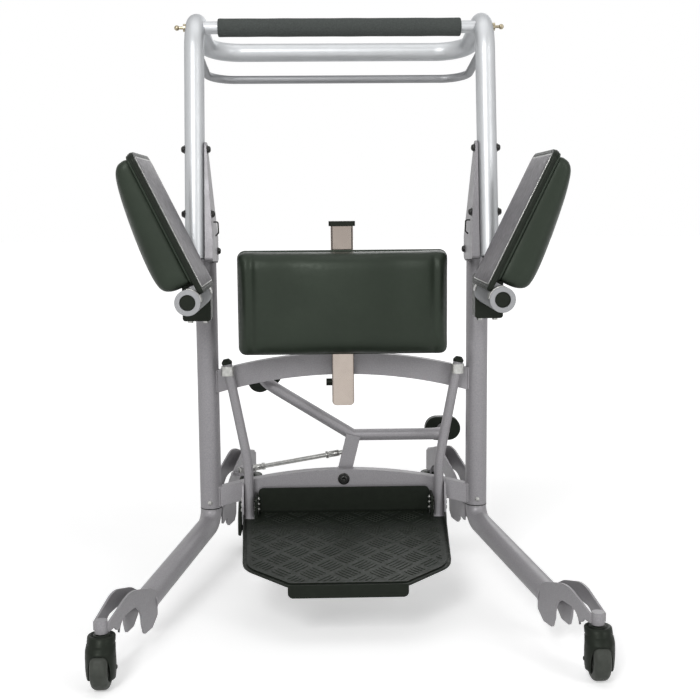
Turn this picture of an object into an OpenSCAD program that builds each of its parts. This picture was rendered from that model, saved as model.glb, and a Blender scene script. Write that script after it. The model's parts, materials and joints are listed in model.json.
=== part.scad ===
// Patient turner: a wheeled standing aid with folding seat paddles, knee pad, footplate and opening legs.
// Millimetres, +Z up. The patient stands on the -Y side and the carer pushes from the +Y side.
// Heights are above the floor. Fore and aft places are measured from the columns' axes.

/* [Columns and crossbars] */
// Half distance between the columns' axes
column_x = 283; // [270:1:300]
// Outer diameter of a column
column_d = 45; // [42:0.5:48]
// Wall of a column
column_wall = 3; // [2:0.5:4]
// Height of the seam between column and leg
seam_z = 164; // [160:1:170]
// Height of the columns' upper ends
column_top_z = 735; // [725:1:745]
// Centre height of the upper crossbar at the columns
upper_bar_z = 435; // [425:1:445]
// Centre height of the lower crossbar at the columns
lower_bar_z = 188; // [186:1:192]
// Rise of both arched crossbars at their middle
bar_rise = 35; // [25:1:40]
// Section height of the upper crossbar
upper_bar_h = 45; // [38:1:50]
// Section height of the lower crossbar
lower_bar_h = 40; // [36:1:46]
// Section depth of both crossbars
bar_depth = 25; // [20:1:30]
// Wall of both crossbars
bar_wall = 2.5; // [2:0.5:4]
// Height of the column screws above the seam
screw_rise = 13; // [10:1:20]

/* [Handle frame] */
// Half distance between the uprights' axes
handle_x = 293; // [289:1:297]
// Diameter of the handle tube
handle_d = 40; // [36:0.5:42]
// Fore and aft place of the uprights' feet
upright_foot_y = -100; // [-104:1:-98]
// Height of the uprights' feet
upright_foot_z = 695; // [690:1:700]
// Backward lean of the uprights, degrees
upright_lean = 10; // [8:0.5:12]
// Height of the corner between upright and side run
handle_top_z = 1180; // [1150:1:1200]
// Fall of the side runs towards the push bar, degrees
run_fall = 7; // [4:0.5:9]
// Fore and aft place of the push bar
push_bar_y = 280; // [250:1:300]
// Bend radius of the handle tube
handle_bend_r = 75; // [65:1:85]
// Diameter of the lower grip loop
loop_d = 18; // [16:0.5:20]
// Drop of the grip loop below the side runs
loop_drop = 60; // [52:1:68]
// Diameter of the grip bar
grip_d = 25; // [22:0.5:28]
// Diameter of the foam on the grip bar
foam_d = 37; // [33:0.5:40]
// Bare grip bar left at each end of the foam
foam_margin = 26; // [15:1:40]
// Place of the grip bar round the front bend, degrees above level
grip_angle = 55; // [45:1:60]
// Diameter of the strap studs' ball
stud_ball_d = 11; // [9:0.5:13]

/* [Gussets] */
// Web of a gusset past the column's inner side
gusset_web = 3.5; // [3:0.5:5]
// Heights of the two bolts in the upright
upright_bolt_z = [912, 784];
// Height of the bolt in the column
column_bolt_z = 707; // [700:1:715]
// Diameter of the gusset bolts
bolt_d = 8; // [6:0.5:10]

/* [Seat] */
// Half distance between the seat shafts' axes
seat_x = 283; // [281.5:0.5:288]
// Height of the seat shafts' axes
seat_z = 628; // [624:1:632]
// Diameter of a seat shaft
shaft_d = 29; // [26:0.5:32]
// Diameter of a seat sleeve
sleeve_d = 47; // [44:0.5:49]
// Front end of the seat sleeves, fore and aft
seat_front_y = -345; // [-360:1:-335]
// Rear end of the seat sleeves, fore and aft
seat_back_y = -131; // [-136:1:-130]
// Reach of a seat board from its shaft axis
seat_reach = 281; // [265:0.5:281]
// Angle of a raised seat paddle past level, degrees
seat_raise = 116; // [108:1:120]
// Thickness of a seat board
board_t = 10; // [8:1:12]
// Cushion thickness at the shaft
cushion_root_t = 58; // [48:1:62]
// Cushion thickness at the tip
cushion_tip_t = 30; // [24:1:36]
// Crown of the seat cushion
cushion_crown = 10; // [4:1:12]

/* [Knee support] */
// Width of the knee mast
mast_w = 46; // [40:1:50]
// Depth of the knee mast
mast_depth = 20; // [16:1:24]
// Height of the mast's lower end
mast_bottom_z = 387; // [380:1:395]
// Height of the mast's upper end
mast_top_z = 757; // [750:1:770]
// Width of the knee pad
pad_w = 428; // [400:1:440]
// Height of the knee pad
pad_h = 214; // [190:1:224]
// Thickness of the knee pad at its edge
pad_t = 52; // [44:1:60]
// Crown of the knee pad
pad_crown = 10; // [4:1:14]
// Height of the knee pad's middle
pad_z = 603; // [598:1:610]

/* [Footplate] */
// Fore and aft place of the footplate's back edge
plate_y = -25; // [-28:1:-24]
// Height of the footplate's back edge
plate_z = 156; // [152:1:160]
// Fall of the footplate towards the front, degrees
plate_fall = 7.4; // [5:0.1:9]
// Length of the footplate
plate_length = 348; // [320:1:360]
// Half width of the footplate near its back
plate_half_w = 211; // [209:1:216]
// Thickness of the footplate
plate_t = 4; // [3:0.5:6]
// Height of the footplate's back plate
back_plate_h = 52; // [40:1:56]
// Depth of the front lip
lip_h = 26; // [18:1:30]
// Diameter of the footplate hangers
hanger_d = 20; // [18:0.5:22]
// Half distance between the hangers at the top
hanger_top_x = 240; // [232:1:243]
// Half distance between the hangers at the bottom
hanger_foot_x = 200; // [199:1:203]

/* [Legs] */
// Opening of each leg in this stance, degrees
leg_open = 14; // [10:0.5:16]
// Diameter of the leg tubes
leg_d = 44; // [40:0.5:45]
// Height of the corner under the column
elbow_z = 131; // [128:1:134]
// Height of the leg tube's axis at its end
leg_end_z = 82; // [76:1:88]
// Reach of the leg tube from the column axis
leg_reach = 366; // [350:1:376]
// Reach of the front castor stem from the column axis
front_stem = 557; // [540:1:580]
// Reach of the rear castor stem behind the column axis
rear_stem = 280; // [270:1:290]
// Thickness of the arch plates
arch_t = 4; // [3:0.5:5]
// Clear distance between a pair of arch plates at the castor
arch_gap = 21; // [20:0.5:24]

/* [Castors] */
// Radius of the front wheels
front_wheel_r = 37.5; // [35:0.5:38]
// Width of the front wheels
front_wheel_w = 32; // [26:1:34]
// Radius of the rear wheels
rear_wheel_r = 62.5; // [58:0.5:64]
// Width of the rear wheels
rear_wheel_w = 34; // [28:1:36]
// Trail of the front castors
front_trail = 10; // [8:1:16]
// Trail of the rear castors
rear_trail = 34; // [28:1:38]
// Diameter of the castor stems
stem_d = 12; // [10:0.5:14]

/* [Leg pedal] */
// Lean of the pedal lever in this stance, degrees
pedal_lean = 14; // [12:0.5:16]
// Distance of the tie pins from the pedal pivot
tie_arm = 51; // [48:1:54]
// Distance of the V tube's vertex from the pedal pivot
vertex_arm = 88; // [84:1:92]
// Diameter of the V tube
v_tube_d = 25; // [22:0.5:27]
// Length of the pressed arm of the V tube
low_arm = 200; // [180:1:210]
// Length of the raised arm of the V tube
high_arm = 224; // [200:1:228]
// Diameter of the tie rods
tie_d = 10; // [8:0.5:12]
// Diameter of the pivot bolt
pivot_d = 12; // [10:0.5:14]

/* [Clearances] */
// Radial clearance of a running fit
run_fit = 0.05; // [0.02:0.01:0.1]
// Gap left where pieces of one body are welded or pressed together
weld_gap = 0.1; // [0.05:0.05:0.2]
// Gap between flat faces that slide on each other
slide_gap = 0.3; // [0.2:0.1:0.6]
// Play of the tie rods' inner eyes on their pins
tie_play = 2.4; // [1.8:0.1:3]

/* [Hidden] */
$fn = 48;

// Colours of the finishes
paint = [0.58, 0.58, 0.6];
satin = [0.78, 0.78, 0.8];
steel = [0.7, 0.7, 0.7];
chrome = [0.85, 0.85, 0.87];
black = [0.13, 0.14, 0.13];
vinyl = [0.17, 0.2, 0.17];
rubber = [0.24, 0.26, 0.25];

// Castor hoods
tread_gap = 2.5;
hood_wall = 4;
rear_hood_r = rear_wheel_r + tread_gap + hood_wall;

// Fore and aft middle of the whole object, which becomes the origin
front_end_y = -front_stem * cos(leg_open) - front_trail - front_wheel_r;
rear_end_y = max(push_bar_y + handle_d / 2, rear_stem * cos(leg_open) - rear_trail + rear_hood_r);
shift_y = -(front_end_y + rear_end_y) / 2;

// Uprights
lean_dir = [0, sin(upright_lean), cos(upright_lean)];
function upright_at(z) = [handle_x, upright_foot_y + (z - upright_foot_z) * tan(upright_lean), z];
front_corner = upright_at(handle_top_z);
rear_corner = [handle_x, push_bar_y, handle_top_z - (push_bar_y - front_corner[1]) * tan(run_fall)];
bend_turn = 90 - upright_lean + run_fall;
bend_start = front_corner - lean_dir * handle_bend_r * tan(bend_turn / 2);
bend_centre = bend_start + [0, cos(upright_lean), -sin(upright_lean)] * handle_bend_r;
grip_y = bend_centre[1] - handle_bend_r * cos(grip_angle);
grip_z = bend_centre[2] + handle_bend_r * sin(grip_angle);
grip_end_x = handle_x - handle_d / 2;
gusset_x = column_x - column_d / 2 - gusset_web;
gusset_t = handle_x - handle_d / 2 - weld_gap - gusset_x;

// Seat hinges
spigot_d = 25;
spigot_engage = 60;
block_half_w = 28;
block_front_y = seat_back_y + 3;
block_depth = 44;
block_top_z = seat_z + shaft_d / 2 + 19;
block_bottom_z = seat_z - shaft_d / 2 - 40;
spigot_seat_z = seat_z + shaft_d / 2 + 3;
plug_t = 5;
board_top = -sleeve_d / 2 - 1;

// Knee mast
bracket_depth = 12;
bracket_half_w = 20;
bracket_top_z = 490;
bracket_bottom_z = 424;
mast_back_y = -bar_depth / 2 - weld_gap - bracket_depth - slide_gap;
mast_y = mast_back_y - mast_depth / 2;
mast_front_y = mast_y - mast_depth / 2;
knee_standoff = 8;
knee_plate_t = 4;
knee_plate_y = mast_front_y - knee_standoff - knee_plate_t;

// Pedal
pivot_z = lower_bar_z + bar_rise;
hub_y = bar_depth / 2 + 1.5;
hub_t = 10;
rod_y = hub_y + hub_t + 13;

// Castors
front_cap_z = 90;
rear_cap_z = 169;
front_boss = [93, 115];
rear_boss = [171, 226];
boss_d = arch_gap + 1;
boss_roof = 4;

// Tie rod lugs on the rear arches, in the leg's own frame
lug_x = -36;
lug_y = 112;
lug_t = 6;
tie_pin_d = 8;
tie_eye_d = 20;
left_lug_z = 208;
right_lug_z = 166;

// Shared helpers
function unit(v) = v / norm(v);
function flat(p) = [p[0], p[1]];
// Points of the arc that rounds corner b, given as [x, y, radius], between its neighbours a and c
function corner_arc(a, b, c, n = 8) =
    let (r = b[2], p = flat(b), u = unit(flat(a) - p), v = unit(flat(c) - p))
    let (half = acos(u * v) / 2, m = p + unit(u + v) * r / sin(half))
    let (s = p + u * r / tan(half) - m, e = p + v * r / tan(half) - m)
    let (from = atan2(s[1], s[0]), turn = atan2(s[0] * e[1] - s[1] * e[0], s * e))
    r == 0 ? [p] : [for (i = [0:n]) m + r * [cos(from + turn * i / n), sin(from + turn * i / n)]];
function outline(pts) = [for (i = [0:len(pts) - 1])
    each corner_arc(pts[(i + len(pts) - 1) % len(pts)], pts[i], pts[(i + 1) % len(pts)])];
// Outline made of one half and its mirror image in X
function both_halves(pts) = concat(pts, [for (i = [len(pts) - 1:-1:0]) [-pts[i][0], pts[i][1], pts[i][2]]]);

module placed() translate([0, shift_y, 0]) children();
// Draws on the right (+1) or mirrored to the left (-1)
module on_side(side) if (side > 0) children(); else mirror([1, 0, 0]) children();
module both_sides() for (side = [-1, 1]) on_side(side) children();

module along(p, q) {
    d = q - p;
    translate(p) rotate([0, acos(d[2] / norm(d)), atan2(d[1], d[0])]) children();
}
module rod(p, q, d) along(p, q) cylinder(d = d, h = norm(q - p));
// A bend is a hair thicker than its tube, and the tube runs a hair into it
bend_swell = 0.06;
bend_lap = 0.2;
module bend(a, p, b, r, d) {
    u = unit(p - a);
    v = unit(b - p);
    turn = acos(u * v);
    n = unit(v - (u * v) * u);
    w = cross(u, n);
    c = p - u * r * tan(turn / 2) + n * r;
    multmatrix([[-n[0], u[0], w[0], c[0]], [-n[1], u[1], w[1], c[1]], [-n[2], u[2], w[2], c[2]], [0, 0, 0, 1]])
        rotate_extrude(angle = turn) translate([r, 0]) circle(d = d + 2 * bend_swell);
}
function setback(pts, i, r) = (i == 0 || i == len(pts) - 1) ? 0
    : r * tan(acos(unit(pts[i] - pts[i - 1]) * unit(pts[i + 1] - pts[i])) / 2) - bend_lap;
// Tube along a polyline with every corner bent to the same radius
module bent_tube(pts, r, d) {
    for (i = [0:len(pts) - 2]) {
        u = unit(pts[i + 1] - pts[i]);
        rod(pts[i] + u * setback(pts, i, r), pts[i + 1] - u * setback(pts, i + 1, r), d);
    }
    for (i = [1:len(pts) - 2]) bend(pts[i - 1], pts[i], pts[i + 1], r, d);
}
function mirrored_path(pts) = concat(pts, [for (i = [len(pts) - 1:-1:0]) [-pts[i][0], pts[i][1], pts[i][2]]]);
// Cylinder along X from x0 to x1
module x_rod(x0, x1, y, z, d) translate([x0, y, z]) rotate([0, 90, 0]) cylinder(d = d, h = x1 - x0);
// Cylinder along Y from y0 to y1
module y_rod(y0, y1, x, z, d) translate([x, y0, z]) rotate([-90, 0, 0]) cylinder(d = d, h = y1 - y0);
// Plate standing in the fore and aft plane, drawn as [fore and aft, height]
module side_plate(x0, t, pts) translate([x0, 0, 0]) rotate([90, 0, 90]) linear_extrude(t) polygon(outline(pts));
// Low dome head that points along +Z
module dome_head(d, h) {
    cylinder(d = d, h = h / 3);
    translate([0, 0, h / 3]) cylinder(d1 = d, d2 = d * 0.55, h = h * 2 / 3);
}

// Padded form: loops of a rounded rectangle with drawn-in sides that climb from a flat back to a crowned face
pad_arc = 5;
pad_side = 5;
pad_levels = [[7, 0], [1.5, 0.06], [0, 0.2], [0, 0.55], [2, 0.76], [6, 0.89], [13, 0.965], [24, 1], [44, 1], [70, 1]];
function pad_side_points(a, b) = [for (i = [1:pad_side]) a + (b - a) * i / (pad_side + 1)];
function pad_corner(cx, cy, r, q) = [for (i = [0:pad_arc])
    [cx + r * cos(q * 90 + i * 90 / pad_arc), cy + r * sin(q * 90 + i * 90 / pad_arc)]];
function pad_loop(a, b, r) = concat(
    pad_corner(a - r, b - r, r, 0), pad_side_points([a - r, b], [r - a, b]),
    pad_corner(r - a, b - r, r, 1), pad_side_points([-a, b - r], [-a, r - b]),
    pad_corner(r - a, r - b, r, 2), pad_side_points([r - a, -b], [a - r, -b]),
    pad_corner(a - r, r - b, r, 3), pad_side_points([a, r - b], [a, b - r]));
function drawn_in(p, a, b, draw) = [p[0] * (1 - draw / a * (1 - pow(p[1] / b, 2))), p[1] * (1 - draw / b * (1 - pow(p[0] / a, 2)))];
function pad_height(p, a, b, t0, t1, crown) = t0 + (t1 - t0) * (p[0] + a) / (2 * a)
    + crown * (1 - pow(p[0] / a, 2)) * (1 - pow(p[1] / b, 2));
// Half sizes a and b, corner radius r, thickness t0 at -X and t1 at +X
module pad_form(a, b, r, t0, t1, crown, draw) {
    loops = [for (l = pad_levels)
        [for (p = pad_loop(a - l[0], b - l[0], max(r - l[0], r * 0.3)))
            let (q = drawn_in(p, a, b, draw)) [q[0], q[1], l[1] * pad_height(q, a, b, t0, t1, crown)]]];
    n = len(loops[0]);
    m = len(loops);
    pts = concat([for (l = loops) each l], [[0, 0, 0], [0, 0, pad_height([0, 0], a, b, t0, t1, crown)]]);
    walls = [for (k = [0:m - 2]) for (i = [0:n - 1]) let (j = (i + 1) % n)
        each [[k * n + i, (k + 1) * n + j, k * n + j], [k * n + i, (k + 1) * n + i, (k + 1) * n + j]]];
    back = [for (i = [0:n - 1]) [m * n, i, (i + 1) % n]];
    face = [for (i = [0:n - 1]) [m * n + 1, (m - 1) * n + (i + 1) % n, (m - 1) * n + i]];
    polyhedron(pts, concat(walls, back, face));
}

// Columns
column_bore = column_d - 2 * column_wall;
screw_z = seam_z + screw_rise;
screw_d = 5;
module column(side) color(paint) placed() on_side(side) difference() {
    translate([column_x, 0, seam_z]) cylinder(d = column_d, h = column_top_z - seam_z);
    translate([column_x, 0, seam_z - 1]) cylinder(d = column_bore, h = column_top_z - seam_z + 2);
    x_rod(column_x - column_d, column_x + column_d, 0, column_bolt_z, bolt_d + 2 * weld_gap);
    y_rod(-column_d, 0, column_x, screw_z, screw_d + 2 * weld_gap);
}
module left_column() column(-1);
module right_column() column(1);
cap_t = 4;
cap_plug = 10;
module column_caps() color(black) placed() both_sides() translate([column_x, 0, column_top_z]) {
    cylinder(d = column_d, h = cap_t);
    translate([0, 0, -cap_plug]) cylinder(d = column_bore - 2 * weld_gap, h = cap_plug);
}
screw_tip = 2;
module column_screws() color(steel) placed() both_sides() translate([column_x, -column_d / 2, screw_z]) rotate([90, 0, 0]) {
    dome_head(screw_d * 1.9, 3);
    translate([0, 0, -column_wall - screw_tip]) cylinder(d = screw_d, h = column_wall + screw_tip);
}

// Arched crossbars: a box section swept round a long arc between the columns
arch_half = column_x - column_d / 2;
arch_r = (arch_half * arch_half + bar_rise * bar_rise) / (2 * bar_rise);
arch_angle = 2 * asin(column_x / arch_r);
module crossbar(end_z, h) difference() {
    translate([0, 0, end_z + bar_rise - arch_r]) rotate([90, arch_angle / 2 - 90, 0]) rotate_extrude(angle = arch_angle, $fn = 180)
        translate([arch_r, 0]) difference() {
            square([h, bar_depth], center = true);
            square([h - 2 * bar_wall, bar_depth - 2 * bar_wall], center = true);
        }
    both_sides() translate([column_x, 0, 0]) cylinder(d = column_d + 2 * weld_gap, h = handle_top_z);
}
module upper_crossbar() color(paint) placed() crossbar(upper_bar_z, upper_bar_h);
module lower_crossbar() color(paint) placed() difference() {
    crossbar(lower_bar_z, lower_bar_h);
    y_rod(-bar_depth, bar_depth, 0, pivot_z, pivot_d + 2 * weld_gap);
}

// Handle frame and its bars
handle_path = mirrored_path([upright_at(upright_foot_z), front_corner, rear_corner]);
module handle_solid(grow) bent_tube(handle_path, handle_bend_r, handle_d + 2 * grow);
module handle_frame() color(satin) placed() difference() {
    handle_solid(0);
    both_sides() {
        rod(upright_at(upright_foot_z) - lean_dir, upright_at(upright_foot_z) + lean_dir * spigot_engage,
            spigot_d + 2 * weld_gap);
        for (z = upright_bolt_z) x_rod(handle_x - handle_d, handle_x + handle_d, upright_at(z)[1], z, bolt_d + 2 * weld_gap);
    }
}
loop_bend_r = 62;
loop_start_z = handle_top_z - loop_drop;
loop_start = upright_at(loop_start_z);
loop_rear = [handle_x, rear_corner[1], rear_corner[2] - loop_drop];
module lower_grip_loop() color(satin) placed() difference() {
    bent_tube(mirrored_path([loop_start, loop_rear]), loop_bend_r, loop_d);
    both_sides() rod(upright_at(loop_start_z - 3 * loop_d), upright_at(loop_start_z + loop_d), handle_d + 2 * weld_gap);
    front_bends(weld_gap);
}
module front_bends(grow) both_sides()
    bend(upright_at(upright_foot_z), front_corner, rear_corner, handle_bend_r, handle_d + 2 * grow);
module grip_bar() color(satin) placed() difference() {
    x_rod(-grip_end_x - grip_d / 2, grip_end_x + grip_d / 2, grip_y, grip_z, grip_d);
    front_bends(weld_gap);
}
foam_half = grip_end_x - foam_margin;
module grip_foam() color(rubber) placed() difference() {
    x_rod(-foam_half, foam_half, grip_y, grip_z, foam_d);
    x_rod(-foam_half - 1, foam_half + 1, grip_y, grip_z, grip_d + 2 * weld_gap);
}
stud_neck_d = 6;
stud_flange_d = 16;
stud_out = 17;
module strap_studs() color("goldenrod") placed() both_sides() difference() {
    union() {
        x_rod(handle_x + handle_d / 2 - 5, handle_x + handle_d / 2 + 4, grip_y, grip_z, stud_flange_d);
        x_rod(handle_x + handle_d / 2, handle_x + handle_d / 2 + stud_out, grip_y, grip_z, stud_neck_d);
        translate([handle_x + handle_d / 2 + stud_out, grip_y, grip_z]) sphere(d = stud_ball_d);
    }
    bend(upright_at(upright_foot_z), front_corner, rear_corner, handle_bend_r, handle_d + 2 * weld_gap);
}

// Gussets between columns and uprights
gusset_half = 16;
gusset_top_z = upright_bolt_z[0] + 14;
gusset_points = [
    [upright_at(upright_foot_z)[1] - gusset_half, upright_foot_z - 4, 6],
    [column_d / 2 - 3, upright_foot_z - 10, 10],
    [column_d / 2 - 3, column_top_z - 8, 60],
    [upright_at(gusset_top_z)[1] + gusset_half - 2, gusset_top_z, 10],
    [upright_at(gusset_top_z)[1] - gusset_half + 2, gusset_top_z, 10]];
// The gusset's inner face leans from the column's side to the upright's side
gusset_lean = 3.6;
function gusset_face(z) = gusset_x + max(0, z - column_top_z) * tan(gusset_lean);
module gusset_plates() color(paint) placed() both_sides() difference() {
    side_plate(gusset_x, gusset_t, gusset_points);
    for (z = upright_bolt_z) x_rod(gusset_x - 1, handle_x, upright_at(z)[1], z, bolt_d + 2 * weld_gap);
    x_rod(gusset_x - 1, column_x, 0, column_bolt_z, bolt_d + 2 * weld_gap);
    translate([column_x, 0, seam_z]) cylinder(d = column_d + 2 * weld_gap, h = handle_top_z);
    translate([gusset_x, 0, column_top_z]) rotate([0, gusset_lean, 0])
        translate([-column_d, -handle_top_z / 2, 0]) cube([column_d, handle_top_z, handle_top_z]);
}
head_d = 15;
head_h = 6;
washer_d = 17;
washer_t = 1.5;
module gusset_bolt(y, z, tube_x, tube_d) {
    outside = tube_x + tube_d / 2 + washer_t;
    inside = gusset_face(z) - (z > column_top_z ? head_d / 2 * tan(gusset_lean) + weld_gap : 0);
    x_rod(inside, outside, y, z, bolt_d);
    translate([inside, y, z]) rotate([0, -90, 0]) dome_head(head_d, head_h);
    translate([outside, y, z]) rotate([0, 90, 0]) dome_head(head_d, head_h);
    x_rod(outside - washer_t - 2.5, outside, y, z, washer_d);
}
module gusset_bolts() color(black) placed() both_sides() difference() {
    union() {
        for (z = upright_bolt_z) gusset_bolt(upright_at(z)[1], z, handle_x, handle_d);
        gusset_bolt(0, column_bolt_z, column_x, column_d);
    }
    difference() {
        rod(upright_at(upright_foot_z), front_corner, handle_d + 2 * weld_gap);
        for (z = upright_bolt_z) x_rod(handle_x - handle_d, handle_x + handle_d, upright_at(z)[1], z, bolt_d);
    }
    difference() {
        translate([column_x, 0, seam_z]) cylinder(d = column_d + 2 * weld_gap, h = column_top_z - seam_z);
        x_rod(column_x - column_d, column_x + column_d, 0, column_bolt_z, bolt_d);
    }
}
hook_d = 3;
hook_y = upright_at(upright_bolt_z[1])[1];
hook_z = upright_bolt_z[1] - 16;
module belt_hooks() color(black) placed() both_sides()
    bent_tube([[gusset_x, hook_y, hook_z], [gusset_x - 9, hook_y, hook_z],
        [gusset_x - 9, hook_y + 8, hook_z - 22], [gusset_x - 3, hook_y + 10, hook_z - 28]], 3.5, hook_d);

// Seat hinges at the uprights' feet
module upright_spigots() color(black) placed() both_sides()
    rod(upright_at(spigot_seat_z), upright_at(upright_foot_z) + lean_dir * (spigot_engage - 1), spigot_d);
module hinge_blocks() color(black) placed() both_sides() difference() {
    translate([handle_x, 0, 0]) rotate([90, 0, 0]) translate([0, 0, -block_front_y - block_depth]) linear_extrude(block_depth)
        polygon(outline([[-block_half_w - 3, block_bottom_z, 6], [block_half_w - 3, block_bottom_z, 6],
            [block_half_w - 3, block_top_z, 9], [-block_half_w - 3, block_top_z, 9]]));
    rod(upright_at(spigot_seat_z - weld_gap), upright_at(upright_foot_z), spigot_d + 2 * weld_gap);
    y_rod(block_front_y - 1, block_front_y + block_depth + 1, seat_x, seat_z, shaft_d + 2 * run_fit);
    for (dx = block_bolts) translate([handle_x + dx, block_front_y + block_depth / 2, block_bottom_z - 1])
        cylinder(d = block_bolt_d + 2 * weld_gap, h = block_bolt_in + 1);
}
block_bolts = [-19, 12];
block_bolt_d = 6;
block_bolt_in = 14;
module hinge_block_bolts() color(steel) placed() both_sides() for (dx = block_bolts)
    translate([handle_x + dx, block_front_y + block_depth / 2, block_bottom_z]) {
        cylinder(d = block_bolt_d, h = block_bolt_in - 1);
        rotate([180, 0, 0]) cylinder(d = 11, h = 5, $fn = 6);
    }
shaft_front_y = seat_front_y + plug_t + 3;
module seat_shafts() color(steel) placed() both_sides()
    y_rod(shaft_front_y, block_front_y + block_depth, seat_x, seat_z, shaft_d);
module shaft_plugs() color(black) placed() both_sides()
    y_rod(shaft_front_y - plug_t, shaft_front_y, seat_x, seat_z, shaft_d - 2 * weld_gap);

// Seat paddles, drawn level and pointing inwards, then raised about the shaft
module paddle(side) placed() on_side(side) translate([seat_x, 0, seat_z]) rotate([0, seat_raise, 0]) mirror([1, 0, 0]) children();
saddle_w = 19;
saddle_l = 34;
saddle_inset = 18;
module seat_sleeve(side) color(satin) paddle(side) difference() {
    union() {
        y_rod(seat_front_y, seat_back_y, 0, 0, sleeve_d);
        for (y = [seat_front_y + saddle_inset, seat_back_y - saddle_inset - saddle_l])
            translate([board_root, y, board_top]) cube([saddle_w, saddle_l, -board_top]);
    }
    y_rod(seat_front_y - 1, seat_back_y + 1, 0, 0, shaft_d + 2 * run_fit);
}
module left_seat_sleeve() seat_sleeve(-1);
module right_seat_sleeve() seat_sleeve(1);
board_root = 4;
board_margin = 2;
board_tip_r = 18;
board_points = [[board_root, seat_front_y + board_margin, 8], [seat_reach, seat_front_y + board_margin, board_tip_r],
    [seat_reach, seat_back_y - board_margin, board_tip_r], [board_root, seat_back_y - board_margin, 8]];
module seat_board(side) color(paint) paddle(side)
    translate([0, 0, board_top - board_t]) linear_extrude(board_t) polygon(outline(board_points));
module left_seat_board() seat_board(-1);
module right_seat_board() seat_board(1);
cushion_root = sleeve_d / 2 + 2;
cushion_margin = 3;
cushion_half_l = (seat_reach - cushion_margin - cushion_root) / 2;
cushion_half_w = (seat_back_y - seat_front_y) / 2 - board_margin - cushion_margin;
module seat_cushion(side) color(vinyl) paddle(side)
    translate([cushion_root + cushion_half_l, (seat_front_y + seat_back_y) / 2, board_top + slide_gap])
        pad_form(cushion_half_l, cushion_half_w, board_tip_r - cushion_margin, cushion_root_t, cushion_tip_t, cushion_crown, 3);
module left_seat_cushion() seat_cushion(-1);
module right_seat_cushion() seat_cushion(1);

// Knee support: a mast that slides on a T slot behind it and carries the pad
bracket_back_y = mast_back_y + slide_gap + bracket_depth;
slot_wall = 2;
slot_lip = 5;
rail_neck_w = 14;
rail_head_w = 24;
rail_head_y0 = mast_back_y + slide_gap + slot_lip + slide_gap;
rail_head_y1 = bracket_back_y - slot_wall - slide_gap;
rail_bottom_z = mast_bottom_z + 8;
rail_top_z = 610;
latch_z = bracket_bottom_z + 8;
latch_d = 6;
latch_y = (rail_head_y0 + rail_head_y1) / 2;
// Box from corner a to corner b
module box(a, b) translate(a) cube(b - a);
module mast_bracket() color(black) placed() difference() {
    box([-bracket_half_w, mast_back_y + slide_gap, bracket_bottom_z], [bracket_half_w, bracket_back_y, bracket_top_z]);
    box([-rail_neck_w / 2 - slide_gap, mast_back_y - 1, bracket_bottom_z - 1],
        [rail_neck_w / 2 + slide_gap, rail_head_y1, bracket_top_z + 1]);
    box([-rail_head_w / 2 - slide_gap, rail_head_y0 - slide_gap, bracket_bottom_z - 1],
        [rail_head_w / 2 + slide_gap, rail_head_y1 + slide_gap, bracket_top_z + 1]);
    x_rod(-bracket_half_w - 1, 0, latch_y, latch_z, latch_d + 2 * run_fit);
}
latch_knob_d = 15;
latch_knob_l = 14;
latch_gap = 1;
module mast_latch() color(black) placed() {
    x_rod(-bracket_half_w - latch_gap - 1, -rail_head_w / 2 - slide_gap, latch_y, latch_z, latch_d);
    x_rod(-bracket_half_w - latch_gap - latch_knob_l, -bracket_half_w - latch_gap, latch_y, latch_z, latch_knob_d);
}
mast_edge_r = 6;
mast_end_r = 9;
module knee_mast() color(chrome) placed() {
    intersection() {
        translate([0, mast_back_y, 0]) rotate([90, 0, 0]) linear_extrude(mast_depth)
            polygon(outline(both_halves([[mast_w / 2, mast_bottom_z, mast_end_r], [mast_w / 2, mast_top_z, 0]])));
        translate([0, 0, mast_bottom_z - 1]) linear_extrude(mast_top_z - mast_bottom_z + 2)
            polygon(outline(both_halves([[mast_w / 2, mast_front_y, mast_edge_r], [mast_w / 2, mast_back_y, 2]])));
    }
    box([-rail_neck_w / 2, mast_back_y - 1, rail_bottom_z], [rail_neck_w / 2, rail_head_y1, rail_top_z]);
    box([-rail_head_w / 2, rail_head_y0, rail_bottom_z], [rail_head_w / 2, rail_head_y1, rail_top_z]);
}
mast_cap_h = 10;
mast_cap_over = 4;
module mast_cap() color(black) placed() translate([0, 0, mast_top_z]) linear_extrude(mast_cap_h)
    polygon(outline(both_halves([[mast_w / 2 + mast_cap_over, mast_front_y - mast_cap_over, mast_edge_r],
        [mast_w / 2 + mast_cap_over, mast_back_y + mast_cap_over, mast_edge_r]])));
knee_plate_w = 340;
knee_plate_h = 130;
knee_post_w = 38;
knee_post_h = 64;
knee_post_z = pad_z + 2;
module knee_backplate() color(paint) placed() {
    translate([0, knee_plate_y + knee_plate_t, 0]) rotate([90, 0, 0]) linear_extrude(knee_plate_t)
        polygon(outline(both_halves([[knee_plate_w / 2, pad_z - knee_plate_h / 2, 12], [knee_plate_w / 2, pad_z + knee_plate_h / 2, 12]])));
    translate([-knee_post_w / 2, knee_plate_y + knee_plate_t, knee_post_z]) cube([knee_post_w, knee_standoff, knee_post_h]);
}
module knee_pad() color(vinyl) placed() translate([0, knee_plate_y - slide_gap, pad_z]) rotate([90, 0, 0])
    pad_form(pad_w / 2, pad_h / 2, 16, pad_t, pad_t, pad_crown, 2);

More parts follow.
